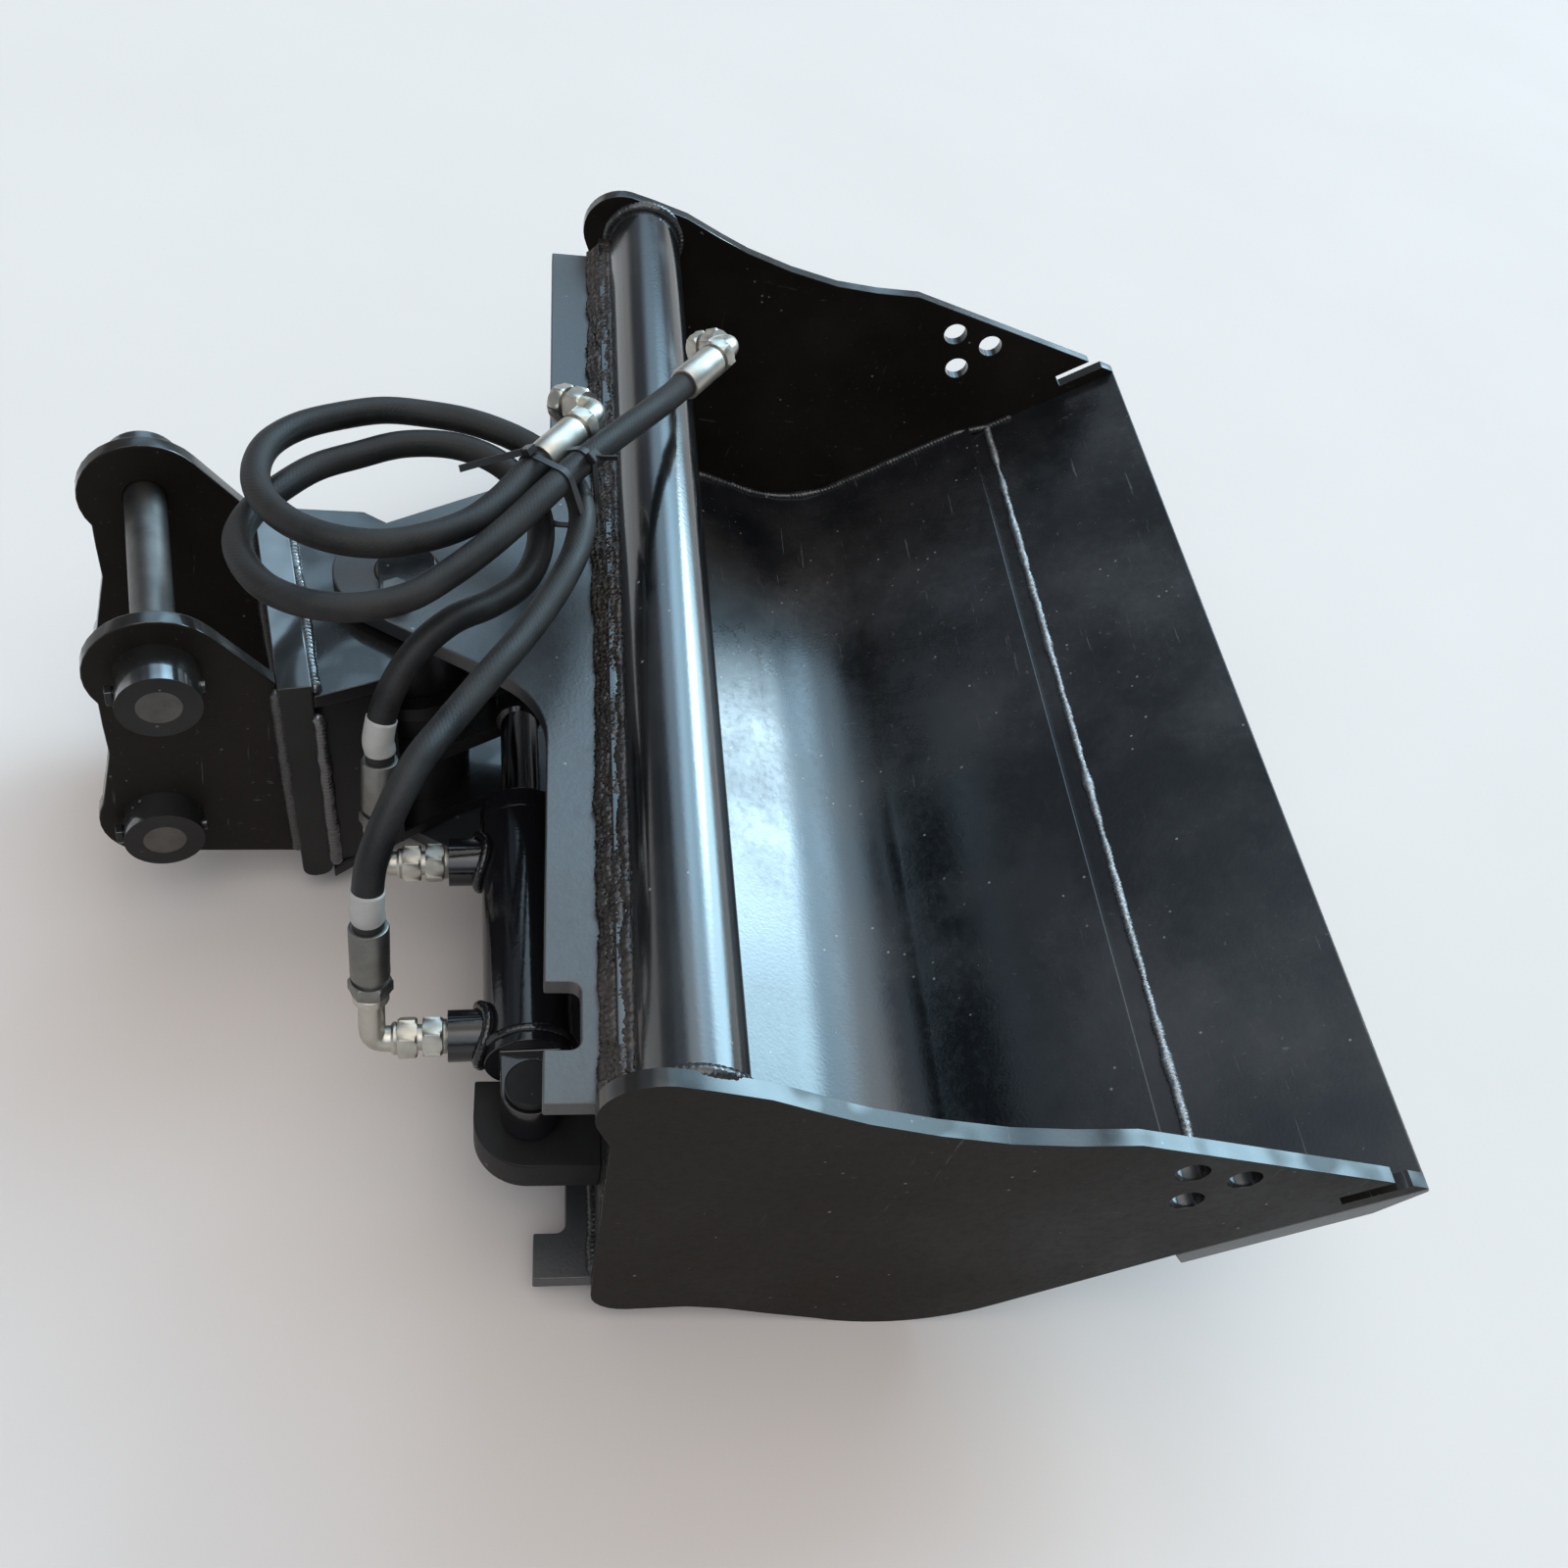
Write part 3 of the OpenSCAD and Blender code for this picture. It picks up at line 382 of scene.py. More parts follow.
paint = black_paint("black_paint", base=(0.005, 0.005, 0.0055), gloss=0.3, spec=0.3,
                    edges=True, coat_ior=1.6, specks=0.3)
paint_inside = black_paint("black_paint_inside", base=(0.0042, 0.0048, 0.0058), gloss=0.17,
                           dust_and_reflection_colour=(0.048, 0.046, 0.047), dust=0.42, scuff=0.3,
                           wave=0.0011, spec=1.0, specks=0.5)
# Side plates and ears: the brown tint of the base and dust colours is a painted brownish
# reflection; the dust patches themselves are dust.
paint_side = black_paint("black_paint_side", base=(0.0068, 0.0054, 0.0042), gloss=0.42,
                         dust_and_reflection_colour=(0.024, 0.019, 0.015), dust=0.5, scuff=0.25,
                         spec=0.12, edges=True, coat_ior=1.7, specks=0.35)
paint_support = black_paint("black_paint_support", base=(0.013, 0.015, 0.018), gloss=0.36,
                            dust=0.35, wave=0.0004, fine=0.00012, spec=1.0, specks=0.6)
paint_tube = black_paint("black_paint_tube", base=(0.005, 0.0055, 0.006), gloss=0.13,
                         dust=0.35, wave=0.0005, spec=0.9, grain=(0.08, 1, 1), coat=0.35,
                         specks=0.4)
paint_cylinder = black_paint("black_paint_cylinder", base=(0.006, 0.006, 0.007), gloss=0.1,
                             dust=0.1, wave=0.0003, spec=0.5)
paint_weld = black_paint("black_paint_weld", base=(0.010, 0.010, 0.010), gloss=0.2,
                         dust_and_reflection_colour=(0.05, 0.046, 0.043), dust=0.5, fine=0.0005,
                         spec=0.7, specks=0.6)
paint_band = black_paint("black_paint_band", base=(0.012, 0.009, 0.007), gloss=0.25,
                         dust_and_reflection_colour=(0.05, 0.034, 0.024), dust=0.8, fine=0.0006,
                         spec=0.65, specks=0.3)
paint_dull = black_paint("black_paint_dull", base=(0.006, 0.006, 0.006), gloss=0.4,
                         dust=0.3, spec=0.14, specks=0.3)
paint_boss = black_paint("black_paint_boss", base=(0.006, 0.006, 0.006), gloss=0.34,
                         dust=0.4, spec=0.2, edges=True, coat_ior=2.4, specks=0.3)
paint_bright_weld = black_paint("black_paint_bright_weld", base=(0.016, 0.017, 0.018),
                                gloss=0.16, dust=0.2, fine=0.0004, spec=1.0, coat=0.6,
                                specks=0.6)
print("paints", [m.name for m in bpy.data.materials if m.name.startswith("black_paint")])


# %% Metal, bronze, rubber, plastic
def metal(name, colour, gloss, grain=(1, 1, 1), stain=0.3, fine=0.00004):
    """Bare or plated metal with cloudy stains and a fine grain."""
    m, t, p = material(name)
    here = coords(t)
    cloud = ramp(t, noise(t, here, 45, 5, 0.6), [(0.4, 0.0), (0.75, 1.0)])
    streak = noise(t, coords(t, grain), 220, 3, 0.6)
    dull = tuple(0.45 * c for c in colour)
    stained = mix(t, maths(t, "MULTIPLY", cloud, stain), colour, dull)
    t.links.new(stained, p.inputs["Base Color"])
    t.links.new(maths(t, "ADD", gloss, maths(t, "MULTIPLY", streak, 0.16)), p.inputs["Roughness"])
    p.inputs["Metallic"].default_value = 1.0
    t.links.new(bump(t, streak, fine), p.inputs["Normal"])
    return m


zinc = metal("zinc_plating", (0.50, 0.475, 0.42), 0.3, stain=0.6)
silver_weld = metal("bare_weld", (0.34, 0.35, 0.36), 0.45, stain=0.7, fine=0.0004)
pin_steel = metal("pin_steel", (0.13, 0.125, 0.12), 0.36, (1, 8, 8), stain=0.7)
chrome = metal("hard_chrome", (0.8, 0.81, 0.83), 0.05, (1, 14, 14), stain=0.08, fine=0.00001)
bronze = metal("bush_bronze", (0.55, 0.38, 0.16), 0.3, stain=0.5)


def hose_cover():
    """Black rubber with the marks of the cloth that it was cured in, and a little bloom."""
    m, t, p = material("hose_cover")
    wrap = t.nodes.new("ShaderNodeTexCoord")
    weave = node(t, "ShaderNodeTexWave", Scale=190.0, Distortion=1.2, Detail=2.0)
    weave.bands_direction = "DIAGONAL"
    t.links.new(wrap.outputs["UV"], weave.inputs["Vector"])
    here = coords(t)
    bloom = ramp(t, noise(t, here, 26, 5, 0.6), [(0.38, 0.0), (0.72, 1.0)])
    t.links.new(mix(t, bloom, (0.006, 0.006, 0.006), (0.022, 0.02, 0.019)), p.inputs["Base Color"])
    t.links.new(maths(t, "ADD", 0.46, maths(t, "MULTIPLY", bloom, 0.2)), p.inputs["Roughness"])
    p.inputs["Specular IOR Level"].default_value = 0.28
    rough = bump(t, weave.outputs["Fac"], 0.00012, 0.35)
    t.links.new(bump(t, noise(t, here, 620, 3, 0.65), 0.00022, 0.9, rough), p.inputs["Normal"])
    return m


def plastic(name, colour, gloss):
    m, t, p = material(name)
    here = coords(t)
    shade = ramp(t, noise(t, here, 120, 3, 0.6), [(0.3, 0.75), (0.7, 1.0)])
    t.links.new(mix(t, shade, tuple(0.6 * c for c in colour), colour), p.inputs["Base Color"])
    p.inputs["Roughness"].default_value = gloss
    t.links.new(bump(t, noise(t, here, 500, 2, 0.5), 0.00005), p.inputs["Normal"])
    return m


rubber = hose_cover()
sleeve_white = plastic("label_sleeve", (0.34, 0.33, 0.31), 0.5)
crimp_steel = metal("crimp_steel", (0.2, 0.195, 0.18), 0.36, stain=0.6)
tie_black = plastic("tie_plastic", (0.016, 0.016, 0.018), 0.35)

# %% [markdown]
# ## Hoses
# Two hoses of 17 mm leave swivel elbows on the cylinder's ports, make a loop
# each in front of the head and end in capped elbows. The photograph shows
# both from end to end, so their lengths are its own: about 0.86 m and 0.89 m.

# %% Hose routes, in metres in the work frame
HOSE_D = 0.017
FERRULE_L, FREE_PIPE = 0.037, 0.014
ROUTE_A = [(0.136, -0.042, 0.596), (0.140, -0.069, 0.596), (0.150, -0.094, 0.593),
           (0.169, -0.115, 0.583), (0.194, -0.125, 0.571), (0.219, -0.125, 0.558),
           (0.242, -0.126, 0.545), (0.266, -0.127, 0.531), (0.290, -0.126, 0.518),
           (0.315, -0.126, 0.506), (0.341, -0.127, 0.495), (0.367, -0.128, 0.487),
           (0.395, -0.130, 0.484), (0.421, -0.132, 0.490), (0.444, -0.134, 0.506),
           (0.460, -0.136, 0.528), (0.470, -0.138, 0.554), (0.474, -0.139, 0.581),
           (0.471, -0.142, 0.608), (0.460, -0.144, 0.633), (0.443, -0.147, 0.656),
           (0.420, -0.150, 0.671), (0.394, -0.152, 0.675), (0.368, -0.154, 0.669),
           (0.346, -0.155, 0.652), (0.333, -0.155, 0.628), (0.331, -0.154, 0.600),
           (0.340, -0.153, 0.574), (0.356, -0.152, 0.551), (0.377, -0.152, 0.534),
           (0.401, -0.153, 0.520), (0.424, -0.154, 0.504)]
ROUTE_B = [(0.260, -0.036, 0.600), (0.266, -0.063, 0.600), (0.276, -0.086, 0.594),
           (0.293, -0.105, 0.580), (0.313, -0.113, 0.560), (0.333, -0.110, 0.537),
           (0.354, -0.109, 0.519), (0.379, -0.112, 0.510), (0.404, -0.118, 0.510),
           (0.428, -0.124, 0.521), (0.445, -0.129, 0.540), (0.454, -0.131, 0.566),
           (0.452, -0.131, 0.596), (0.441, -0.129, 0.623), (0.427, -0.129, 0.646),
           (0.406, -0.130, 0.663), (0.382, -0.131, 0.677), (0.354, -0.134, 0.682),
           (0.328, -0.137, 0.675), (0.306, -0.139, 0.659), (0.293, -0.141, 0.635),
           (0.291, -0.142, 0.608), (0.299, -0.144, 0.582), (0.317, -0.147, 0.560),
           (0.337, -0.150, 0.541), (0.359, -0.152, 0.524), (0.382, -0.154, 0.508),
           (0.405, -0.154, 0.493), (0.427, -0.154, 0.477), (0.450, -0.153, 0.460),
           (0.472, -0.152, 0.443), (0.494, -0.151, 0.427), (0.517, -0.151, 0.411)]
BARREL = "cylinder_barrel"                      # the body that the hoses ride on
BASE_PIN, ROD_PIN_R = (0.079, 0.507), 0.072
ROD_PIN = (PIVOT_X + ROD_PIN_R * math.sin(REST_TILT), PIVOT_Z - ROD_PIN_R * math.cos(REST_TILT))
CYL_ANGLE = math.atan2(ROD_PIN[1] - BASE_PIN[1], ROD_PIN[0] - BASE_PIN[0])
CYL_X = D(math.cos(CYL_ANGLE), 0, math.sin(CYL_ANGLE))
CYL_Z = D(-math.sin(CYL_ANGLE), 0, math.cos(CYL_ANGLE))
CYL_Y, ELBOW_H, PORTS = 0.032, 0.088, (0.044, 0.1695)
END_STEPS, CURVE_STEPS = 6, 14                  # points to a straight end and to each span


def C(along, up=0.0, y=0.0):
    """A point of the cylinder, from its base pin."""
    return W(BASE_PIN[0], CYL_Y + y, BASE_PIN[1]) + along * CYL_X + up * CYL_Z


def centre_line(route, corner):
    """The smooth line of a hose, straight for a diameter at both ends."""
    p = [W(*q) for q in route]
    out, into = (p[0] - corner).normalized(), (p[-1] - p[-2]).normalized()
    q = [p[0], p[0] + HOSE_D * out] + p[1:-1] + [p[-1] - HOSE_D * into, p[-1]]
    line = [q[0].lerp(q[1], k / END_STEPS) for k in range(END_STEPS)]
    for i in range(1, len(q) - 2):
        a, b, c, d = q[i - 1:i + 3]
        for k in range(CURVE_STEPS):
            t = k / CURVE_STEPS
            line.append(b + (c - a) * t / 2 + (2 * a - 5 * b + 4 * c - d) * t ** 2 / 2
                        + (3 * b - a - 3 * c + d) * t ** 3 / 2)
    line += [q[-2].lerp(q[-1], k / END_STEPS) for k in range(END_STEPS + 1)]
    return line, out, into


def tube(name, line, diameter, mat, sides=28):
    """A tube along a line of points. Its UV is the run and the girth, in metres."""
    _, s, b = side_vectors(line)
    rings, uvs, run = [], [], 0.0
    for i, p in enumerate(line):
        run += (line[i] - line[i - 1]).length if i else 0
        u, v = Vector(s[i]), Vector(b[i])
        rings.append([Vector(p) + diameter / 2 * spoke(a, u, v) for a in turns(sides)])
        uvs += [(run, k / sides * math.pi * diameter) for k in range(sides)]
    verts, faces = skin(rings)
    return mesh_object(name, verts, faces, mat, BARREL, uvs=uvs)


hoses = []
for key, route, port, kind in (("a", ROUTE_A, PORTS[0], "base"), ("b", ROUTE_B, PORTS[1], "gland")):
    corner = C(port, ELBOW_H)
    line, out, into = centre_line(route, corner)
    hose = tube("hose_" + key, line, HOSE_D, rubber)
    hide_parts("hose_" + kind)
    length = sum((line[i + 1] - line[i]).length for i in range(len(line) - 1))
    hoses.append({"key": key, "port": port, "kind": kind, "corner": corner, "ob": hose,
                  "line": line, "out": out, "into": into, "length": length})
    print("hose", key, "length", round(length, 4), "points", len(line))


# %% [markdown]
# ## Fittings
# Plated steel: a crimped ferrule, a swept elbow with its swivel nut, and an
# adapter screwed into each port. The free ends have the same elbow and a plug.

# %% Fittings
AF, HEX, NECK = 0.022, 0.011, 0.003             # hexagons: across flats, height, neck beside
PIPE_R, PIPE_INNER_R = 0.0075, 0.006
PORT_H = 0.046                                  # a port boss's top, from the barrel's axis
ELBOW_BEND, ELBOW_SIDES = 0.0085, 32
FERRULE_R, FERRULE_HEX, GRIP, FERRULE_TURN = 0.011, 0.009, 0.011, 0.25
# Turned rings, as (distance along, radius).
SEAL_RING = [(0.0, 0.0085), (0.0, 0.0098), (0.0018, 0.0102), (0.0026, 0.0098), (0.0026, 0.0085)]
SEAL_LIFT = 0.0004
SWIVEL_COLLAR = [(0, 0.0075), (0, 0.0092), (0.002, 0.0096), (0.0035, 0.0086), (0.0035, 0.0072)]
STOP_RING = [(0, 0.0075), (0, 0.0095), (0.0006, 0.0101), (0.0052, 0.0101), (0.0058, 0.0095),
             (0.0058, 0.0075)]
STOP_BACK = 0.0065                              # from the pipe's end to the stop ring


def stem(length, start, direction):
    """A piece of open-ended pipe."""
    profile = [(0, PIPE_INNER_R), (0, PIPE_R), (length, PIPE_R), (length, PIPE_INNER_R)]
    return lathe(profile, start, direction)


def ferrule_shells(start, direction):
    """A hexagon, a neck and a smooth crimped barrel that grips the hose's end."""
    r, l, end = FERRULE_R, FERRULE_L, FERRULE_L + GRIP
    profile = [(FERRULE_HEX - 0.0005, r * 0.7), (FERRULE_HEX, r * 0.82),
               (FERRULE_HEX + 0.002, r * 0.82), (FERRULE_HEX + 0.0035, r * 0.98),
               (FERRULE_HEX + 0.0055, r), (l * 0.55, r * 0.985), (l * 0.8, r),
               (end - 0.0015, r), (end - 0.0003, r * 0.95), (end, r * 0.9), (end, r * 0.8)]
    return [lathe(profile, start, direction),
            hexagon(start, direction, FERRULE_HEX, 2 * r * 0.98, FERRULE_TURN)]


def swept_elbow(corner, leg_in, leg_out, into, out):
    """Rings of a bent pipe: along `into` to the corner, then along `out`."""
    a, b = corner - ELBOW_BEND * into, corner + ELBOW_BEND * out
    line = [a - leg_in * into, a]
    n = 10
    for k in range(1, n):
        t = k / n
        line.append((1 - t) ** 2 * a + 2 * t * (1 - t) * corner + t ** 2 * b)
    line += [b, b + leg_out * out]
    _, s, c = side_vectors(line)
    return [[Vector(p) + PIPE_R * spoke(angle, Vector(s[i]), Vector(c[i]))
             for angle in turns(ELBOW_SIDES)] for i, p in enumerate(line)]


def square_to(v, u):
    """The part of v that is square to u, of unit length."""
    return (v - v.dot(u) * u).normalized()


def fitting(name, shells, stands_for, mat=zinc):
    return build(name, shells, mat, BARREL, [stands_for])


foot = PORT_H + HEX + 2 * NECK                  # where an elbow's nut begins
for h in hoses:
    key, port, kind, out = h["key"], h["port"], h["kind"], h["out"]
    fitting("adapter_" + key, [stem(HEX + 2 * NECK, C(port, PORT_H), CYL_Z),
                               lathe(SEAL_RING, C(port, PORT_H + SEAL_LIFT), CYL_Z),
                               hexagon(C(port, PORT_H + NECK), CYL_Z, HEX, AF, 0.3)],
            "adapter_" + kind)
    reach = (h["line"][0] - h["corner"]).length - FERRULE_L
    fitting("elbow_" + key, [hexagon(C(port, foot), CYL_Z, HEX, AF, 0.1),
                             lathe(SWIVEL_COLLAR, C(port, foot + HEX), CYL_Z),
                             swept_elbow(h["corner"], ELBOW_H - foot - ELBOW_BEND,
                                         reach - ELBOW_BEND, CYL_Z, out),
                             lathe(STOP_RING, h["corner"] + (reach - STOP_BACK) * out, out)],
            "elbow_" + kind)
    h["ferrule"] = fitting("ferrule_" + key, ferrule_shells(h["line"][0] - FERRULE_L * out, out),
                           "ferrule_" + kind, crimp_steel)

FREE_OUT = {"a": D(0.05, 0.22, 0.97), "b": D(0.53, 0.54, 0.66)}   # where the free ends point
NUT_FROM, PLUG_L, FREE_LEG = 0.009, 0.009, 0.004
for h in hoses:
    key, end, u = h["key"], h["line"][-1], h["into"]
    corner = end + (FERRULE_L + FREE_PIPE) * u
    v = square_to(FREE_OUT[key], u)
    h["fitting"] = fitting("free_end_" + key, ferrule_shells(end + FERRULE_L * u, -u) + [
        swept_elbow(corner, FREE_PIPE - ELBOW_BEND, FREE_LEG, u, v),
        hexagon(corner + NUT_FROM * v, v, HEX, AF, 0.2)], "free_fitting_" + key)
    top = corner + (NUT_FROM + HEX) * v
    h["plug"] = fitting("free_plug_" + key, [stem(NECK, top, v),
                                             hexagon(top + NECK * v, v, PLUG_L, AF, 0.45)],
                        "plug_" + key)


# %% Label sleeves and cable ties
SLEEVE_FROM, SLEEVE_L, SLEEVE_T, SLEEVE_SIDES = 0.016, 0.024, 0.0007, 36
TIE_W, TIE_T = 0.0046, 0.0012
TIE_LIFT, TAIL_LIFT, TAIL_SAG = 0.0004, 0.0026, 0.10
# The lock of a tie, as (height, half its side), and its tail's section.
TIE_LOCK = ((0, 0.0034), (0.0006, 0.0038), (0.0046, 0.0038), (0.0052, 0.0033))
TIE_TAIL = ((-0.0021, 0), (0.0021, 0), (0.0021, 0.001), (-0.0021, 0.001))


def sleeve(name, line):
    """A short plain sleeve round a hose, near the end of a line."""
    run, part = 0.0, []
    for i in range(1, len(line)):
        run += (line[i] - line[i - 1]).length
        if SLEEVE_FROM <= run <= SLEEVE_FROM + SLEEVE_L:
            part.append(line[i])
    ob = tube(name, part, HOSE_D + 2 * SLEEVE_T, sleeve_white, SLEEVE_SIDES)
    return ob


labels = [sleeve("label_" + h["key"], h["line"]) for h in hoses]


def hull_2d(points):
    """The corners of the tightest loop round the points."""
    points = sorted(points)

    def half(seq):
        out = []
        for p in seq:
            while len(out) > 1 and ((out[-1][0] - out[-2][0]) * (p[1] - out[-2][1])
                                    - (out[-1][1] - out[-2][1]) * (p[0] - out[-2][0])) <= 0:
                out.pop()
            out.append(p)
        return out[:-1]
    return half(points) + half(reversed(points))


def cable_tie(name, centre, normal, members, toward, tail, reach):
    """A strap pulled round the hoses that cross a plane, with its lock and its tail."""
    u, v, w = basis(normal)
    dots = []
    for ob in members:
        for vert in ob.data.vertices:
            q = vert.co - centre
            if abs(q.dot(w)) < TIE_W * 0.6 and q.length < reach:
                dots.append((q.dot(u), q.dot(v)))
    ring = hull_2d(dots)
    n = len(ring)
    mid = (sum(p[0] for p in ring) / n, sum(p[1] for p in ring) / n)
    rings = []
    for x, y in ring:
        d = Vector((x - mid[0], y - mid[1])).normalized()
        inner = centre + x * u + y * v
        outer = centre + (x + TIE_T * d.x) * u + (y + TIE_T * d.y) * v
        low, high = -TIE_W / 2 * w, TIE_W / 2 * w
        rings.append([inner + low, outer + low, outer + high, inner + high])
    rings.append(rings[0])
    verts, faces = skin(rings, False)
    strap = mesh_object(name, verts, faces, tie_black, BARREL)
    strap.data.set_sharp_from_angle(angle=math.radians(40))
    at = max(range(n), key=lambda i: (ring[i][0] * u + ring[i][1] * v).dot(toward))
    x, y = ring[at]
    d = Vector((x - mid[0], y - mid[1])).normalized()
    out = (d.x * u + d.y * v).normalized()
    side = w.cross(out)
    base = centre + x * u + y * v + TIE_LIFT * out
    lock = [[base + a * side + b * w + h * out for a, b in ((-s, -s), (s, -s), (s, s), (-s, s))]
            for h, s in TIE_LOCK]
    run = Vector(tail)
    along = run.normalized()
    flat = (out - out.dot(along) * along).normalized()
    up = along.cross(flat)
    strip = [[base + TAIL_LIFT * out + t * run - TAIL_SAG * run.length * t * t * up
              + a * flat + h * up for a, h in TIE_TAIL] for t in (k / 10 for k in range(11))]
    return [strap, build(name + "_head", [lock, strip], tie_black, BARREL)]


hose_obs = [h["ob"] for h in hoses]
strands = D(0.81, -0.02, -0.585)                # along the bundle
ties = cable_tie("tie_1", W(0.4215, -0.1415, 0.4915), strands, hose_obs,
                 toward=D(-0.73, -0.9, -0.81), tail=D(-0.0033, -0.0015, -0.0145), reach=0.034)
ties += cable_tie("tie_2", W(0.4020, -0.1430, 0.5050), strands, hose_obs,
                  toward=D(-0.5, -0.6, 0.62), tail=D(-0.017, 0.003, 0.041), reach=0.026)
print("cords declared", [round(h["length"], 3) for h in hoses])

# %% [markdown]
# ## Paint on the CAD nodes

# %% Finish of every CAD node
FINISH = {"black_paint": paint, "pin_steel": pin_steel, "plated_steel": zinc,
          "rod_chrome": chrome, "bush_bronze": bronze, "hose_rubber": rubber}
OWN_FINISH = ((paint_inside, "rolled_shell cutting_edge top_plate"),
              (paint_side, "side_plate_near side_plate_far ear_near ear_far"),
              (paint_tube, "torque_tube"),
              (paint_support, "front_support_plate rear_support_plate"),
              (paint_cylinder, "barrel_tube barrel_cap gland port_base port_gland rod_eye"),
              (paint_dull, "base_pin cylinder_lug"),
              (paint_boss, "head_base_plate boss_front_near boss_front_far boss_rear_near "
                           "boss_rear_far"),
              (paint, "retainers_near retainers_far"))
own = {name: coat for coat, names in OWN_FINISH for name in names.split()}
slots = {s["node"]: s["material_slot"] for s in frame["record"]["subparts"]}
for name, ob in NODES.items():
    ob.data.materials.clear()
    ob.data.materials.append(own[name] if name in own else FINISH[slots[name]])
print("painted", len(NODES))


# %% [markdown]
# ## Softer edges
# A flame-cut, ground or turned piece has a small broken edge that catches
# light. Each is stood for by a copy of itself with its edges rounded.

# %% Rounded copies
BROKEN_EDGE, SMALL_BROKEN_EDGE = 0.0012, 0.0006
FLAT, EDGE = math.radians(0.6), math.radians(28)   # up to here flat, from here an edge


def softened(name, width):
    source = NODES[name]
    bm = bmesh.new()
    bm.from_mesh(source.data)
    bmesh.ops.remove_doubles(bm, verts=bm.verts, dist=1e-6)
    bmesh.ops.dissolve_limit(bm, angle_limit=FLAT, verts=bm.verts, edges=bm.edges)
    sharp = [e for e in bm.edges if e.is_manifold and e.calc_face_angle(0) > EDGE]
    bmesh.ops.bevel(bm, geom=sharp, offset=width, segments=2, profile=0.5, affect="EDGES",
                    clamp_overlap=True)
    me = bpy.data.meshes.new(name + "_soft")
    bm.to_mesh(me)
    bm.free()
    me.polygons.foreach_set("use_smooth", [True] * len(me.polygons))
    me.set_sharp_from_angle(angle=EDGE)
    me.materials.append(source.data.materials[0])
    ob = bpy.data.objects.new(name + "_soft", me)
    bpy.context.scene.collection.objects.link(ob)
    weighted = ob.modifiers.new("flat faces stay flat", "WEIGHTED_NORMAL")
    weighted.keep_sharp = True
    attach(ob, source["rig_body"])
    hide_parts(name)


SMALL = ["keeper_bolt", "retainers_near", "retainers_far"]
SOFT = ["side_plate_near", "side_plate_far", "cutting_edge", "front_support_plate",
        "rear_support_plate", "cylinder_lug", "head_base_plate", "head_front_plate",
        "head_rear_plate", "ear_near", "ear_far", "rod_lug_front", "rod_lug_rear",
        "pin_keeper", "boss_front_near", "boss_front_far", "boss_rear_near", "boss_rear_far",
        "hitch_pin_front", "hitch_pin_rear", "barrel_cap", "gland", "base_pin", "keeper_bolt",
        "rod_eye", "port_base", "port_gland", "retainers_near", "retainers_far", "pivot_pin",
        "rod_stub_front", "rod_stub_rear", "torque_tube", "head_gussets", "rolled_shell",
        "top_plate"]
for name in SOFT:
    softened(name, SMALL_BROKEN_EDGE if name in SMALL else BROKEN_EDGE)
print("softened", len(SOFT))

# %% [markdown]
# ## Weld beads
# Every plate is welded. A bead is swept along its joint, half round, with the
# ripples that the arc leaves, and it swells and thins along its run.

# %% Weld beads
rng = np.random.default_rng(11)
BEAD_SIDES = 12
LUMP_EVERY, SWAY_EVERY = 0.012, 0.009
SWAY, RIPPLE_DEPTH, RIPPLE_LAG = 0.10, 0.18, 0.35


def wander(at, every):
    """A slow random line, with one draw to each stretch of that length."""
    count = max(4, int(at[-1] / every))
    return np.interp(at, np.linspace(0, at[-1], count), rng.normal(0, 1, count))


def bead(name, path, size, body, ripple=0.0032, lump=0.16, mat=paint_weld, closed=False,
         grit=0.03):
    """A rippled bead of about that radius along a path of points."""
    p = np.array([tuple(q) for q in path], float)
    step = np.linalg.norm(np.diff(p, axis=0), axis=1)
    run = np.concatenate([[0], np.cumsum(step)])
    count = max(8, int(run[-1] / (ripple / 4)))
    at = np.linspace(0, run[-1], count)
    q = np.stack([np.interp(at, run, p[:, k]) for k in range(3)], 1)
    _, s, b = side_vectors(q)
    slow, sway = wander(at, LUMP_EVERY), wander(at, SWAY_EVERY)
    rough = rng.normal(0, 1, (count, BEAD_SIDES))
    if closed:
        slow[-1], sway[-1], rough[-1] = slow[0], sway[0], rough[0]
    rings = []
    for i in range(count):
        ring = []
        centre = q[i] + SWAY * size * sway[i] * s[i]
        to_end = min(at[i], run[-1] - at[i])
        taper = 1.0 if closed else min(1.0, (to_end / (1.2 * size)) ** 0.5 + 0.05)
        for k, a in enumerate(turns(BEAD_SIDES)):
            phase = at[i] / ripple + RIPPLE_LAG * math.cos(2 * a)
            scallop = abs(math.sin(math.pi * phase)) ** 0.6
            r = size * taper * (1 + lump * slow[i] * 0.5 + RIPPLE_DEPTH * (scallop - 0.5)
                                + grit * rough[i, k])
            ring.append(centre + r * spoke(a, s[i], b[i]))
        rings.append(ring)
    verts, faces = skin(rings, not closed)
    ob = mesh_object(name, verts, faces, mat, body)
    return ob


def ring_path(centre, axis, radius, n=60):
    """A closed circle of n steps about an axis."""
    u, v, _ = basis(axis)
    return [centre + radius * spoke(2 * math.pi * k / n, u, v) for k in range(n + 1)]


BW, SIDE = 0.8, 0.010                           # bucket width, side plate thickness
TUBE, TUBE_BEAD_R = (-0.0893, 0.4305), 0.0292   # the torque tube's centre in Y and Z
TOP = 0.467                                     # outer face of the top plate
FRONT_Y, REAR_Y, PLATE = -0.0736, 0.1256, 0.012   # support plates: open-side faces, thickness
INSET = 0.004                                   # from a side plate to a bead's end


def across_bucket(name, y, z, size, **more):
    ends = [W(SIDE + INSET, y, z), W(BW - SIDE - INSET, y, z)]
    return bead(name, ends, size, "bucket", **more)


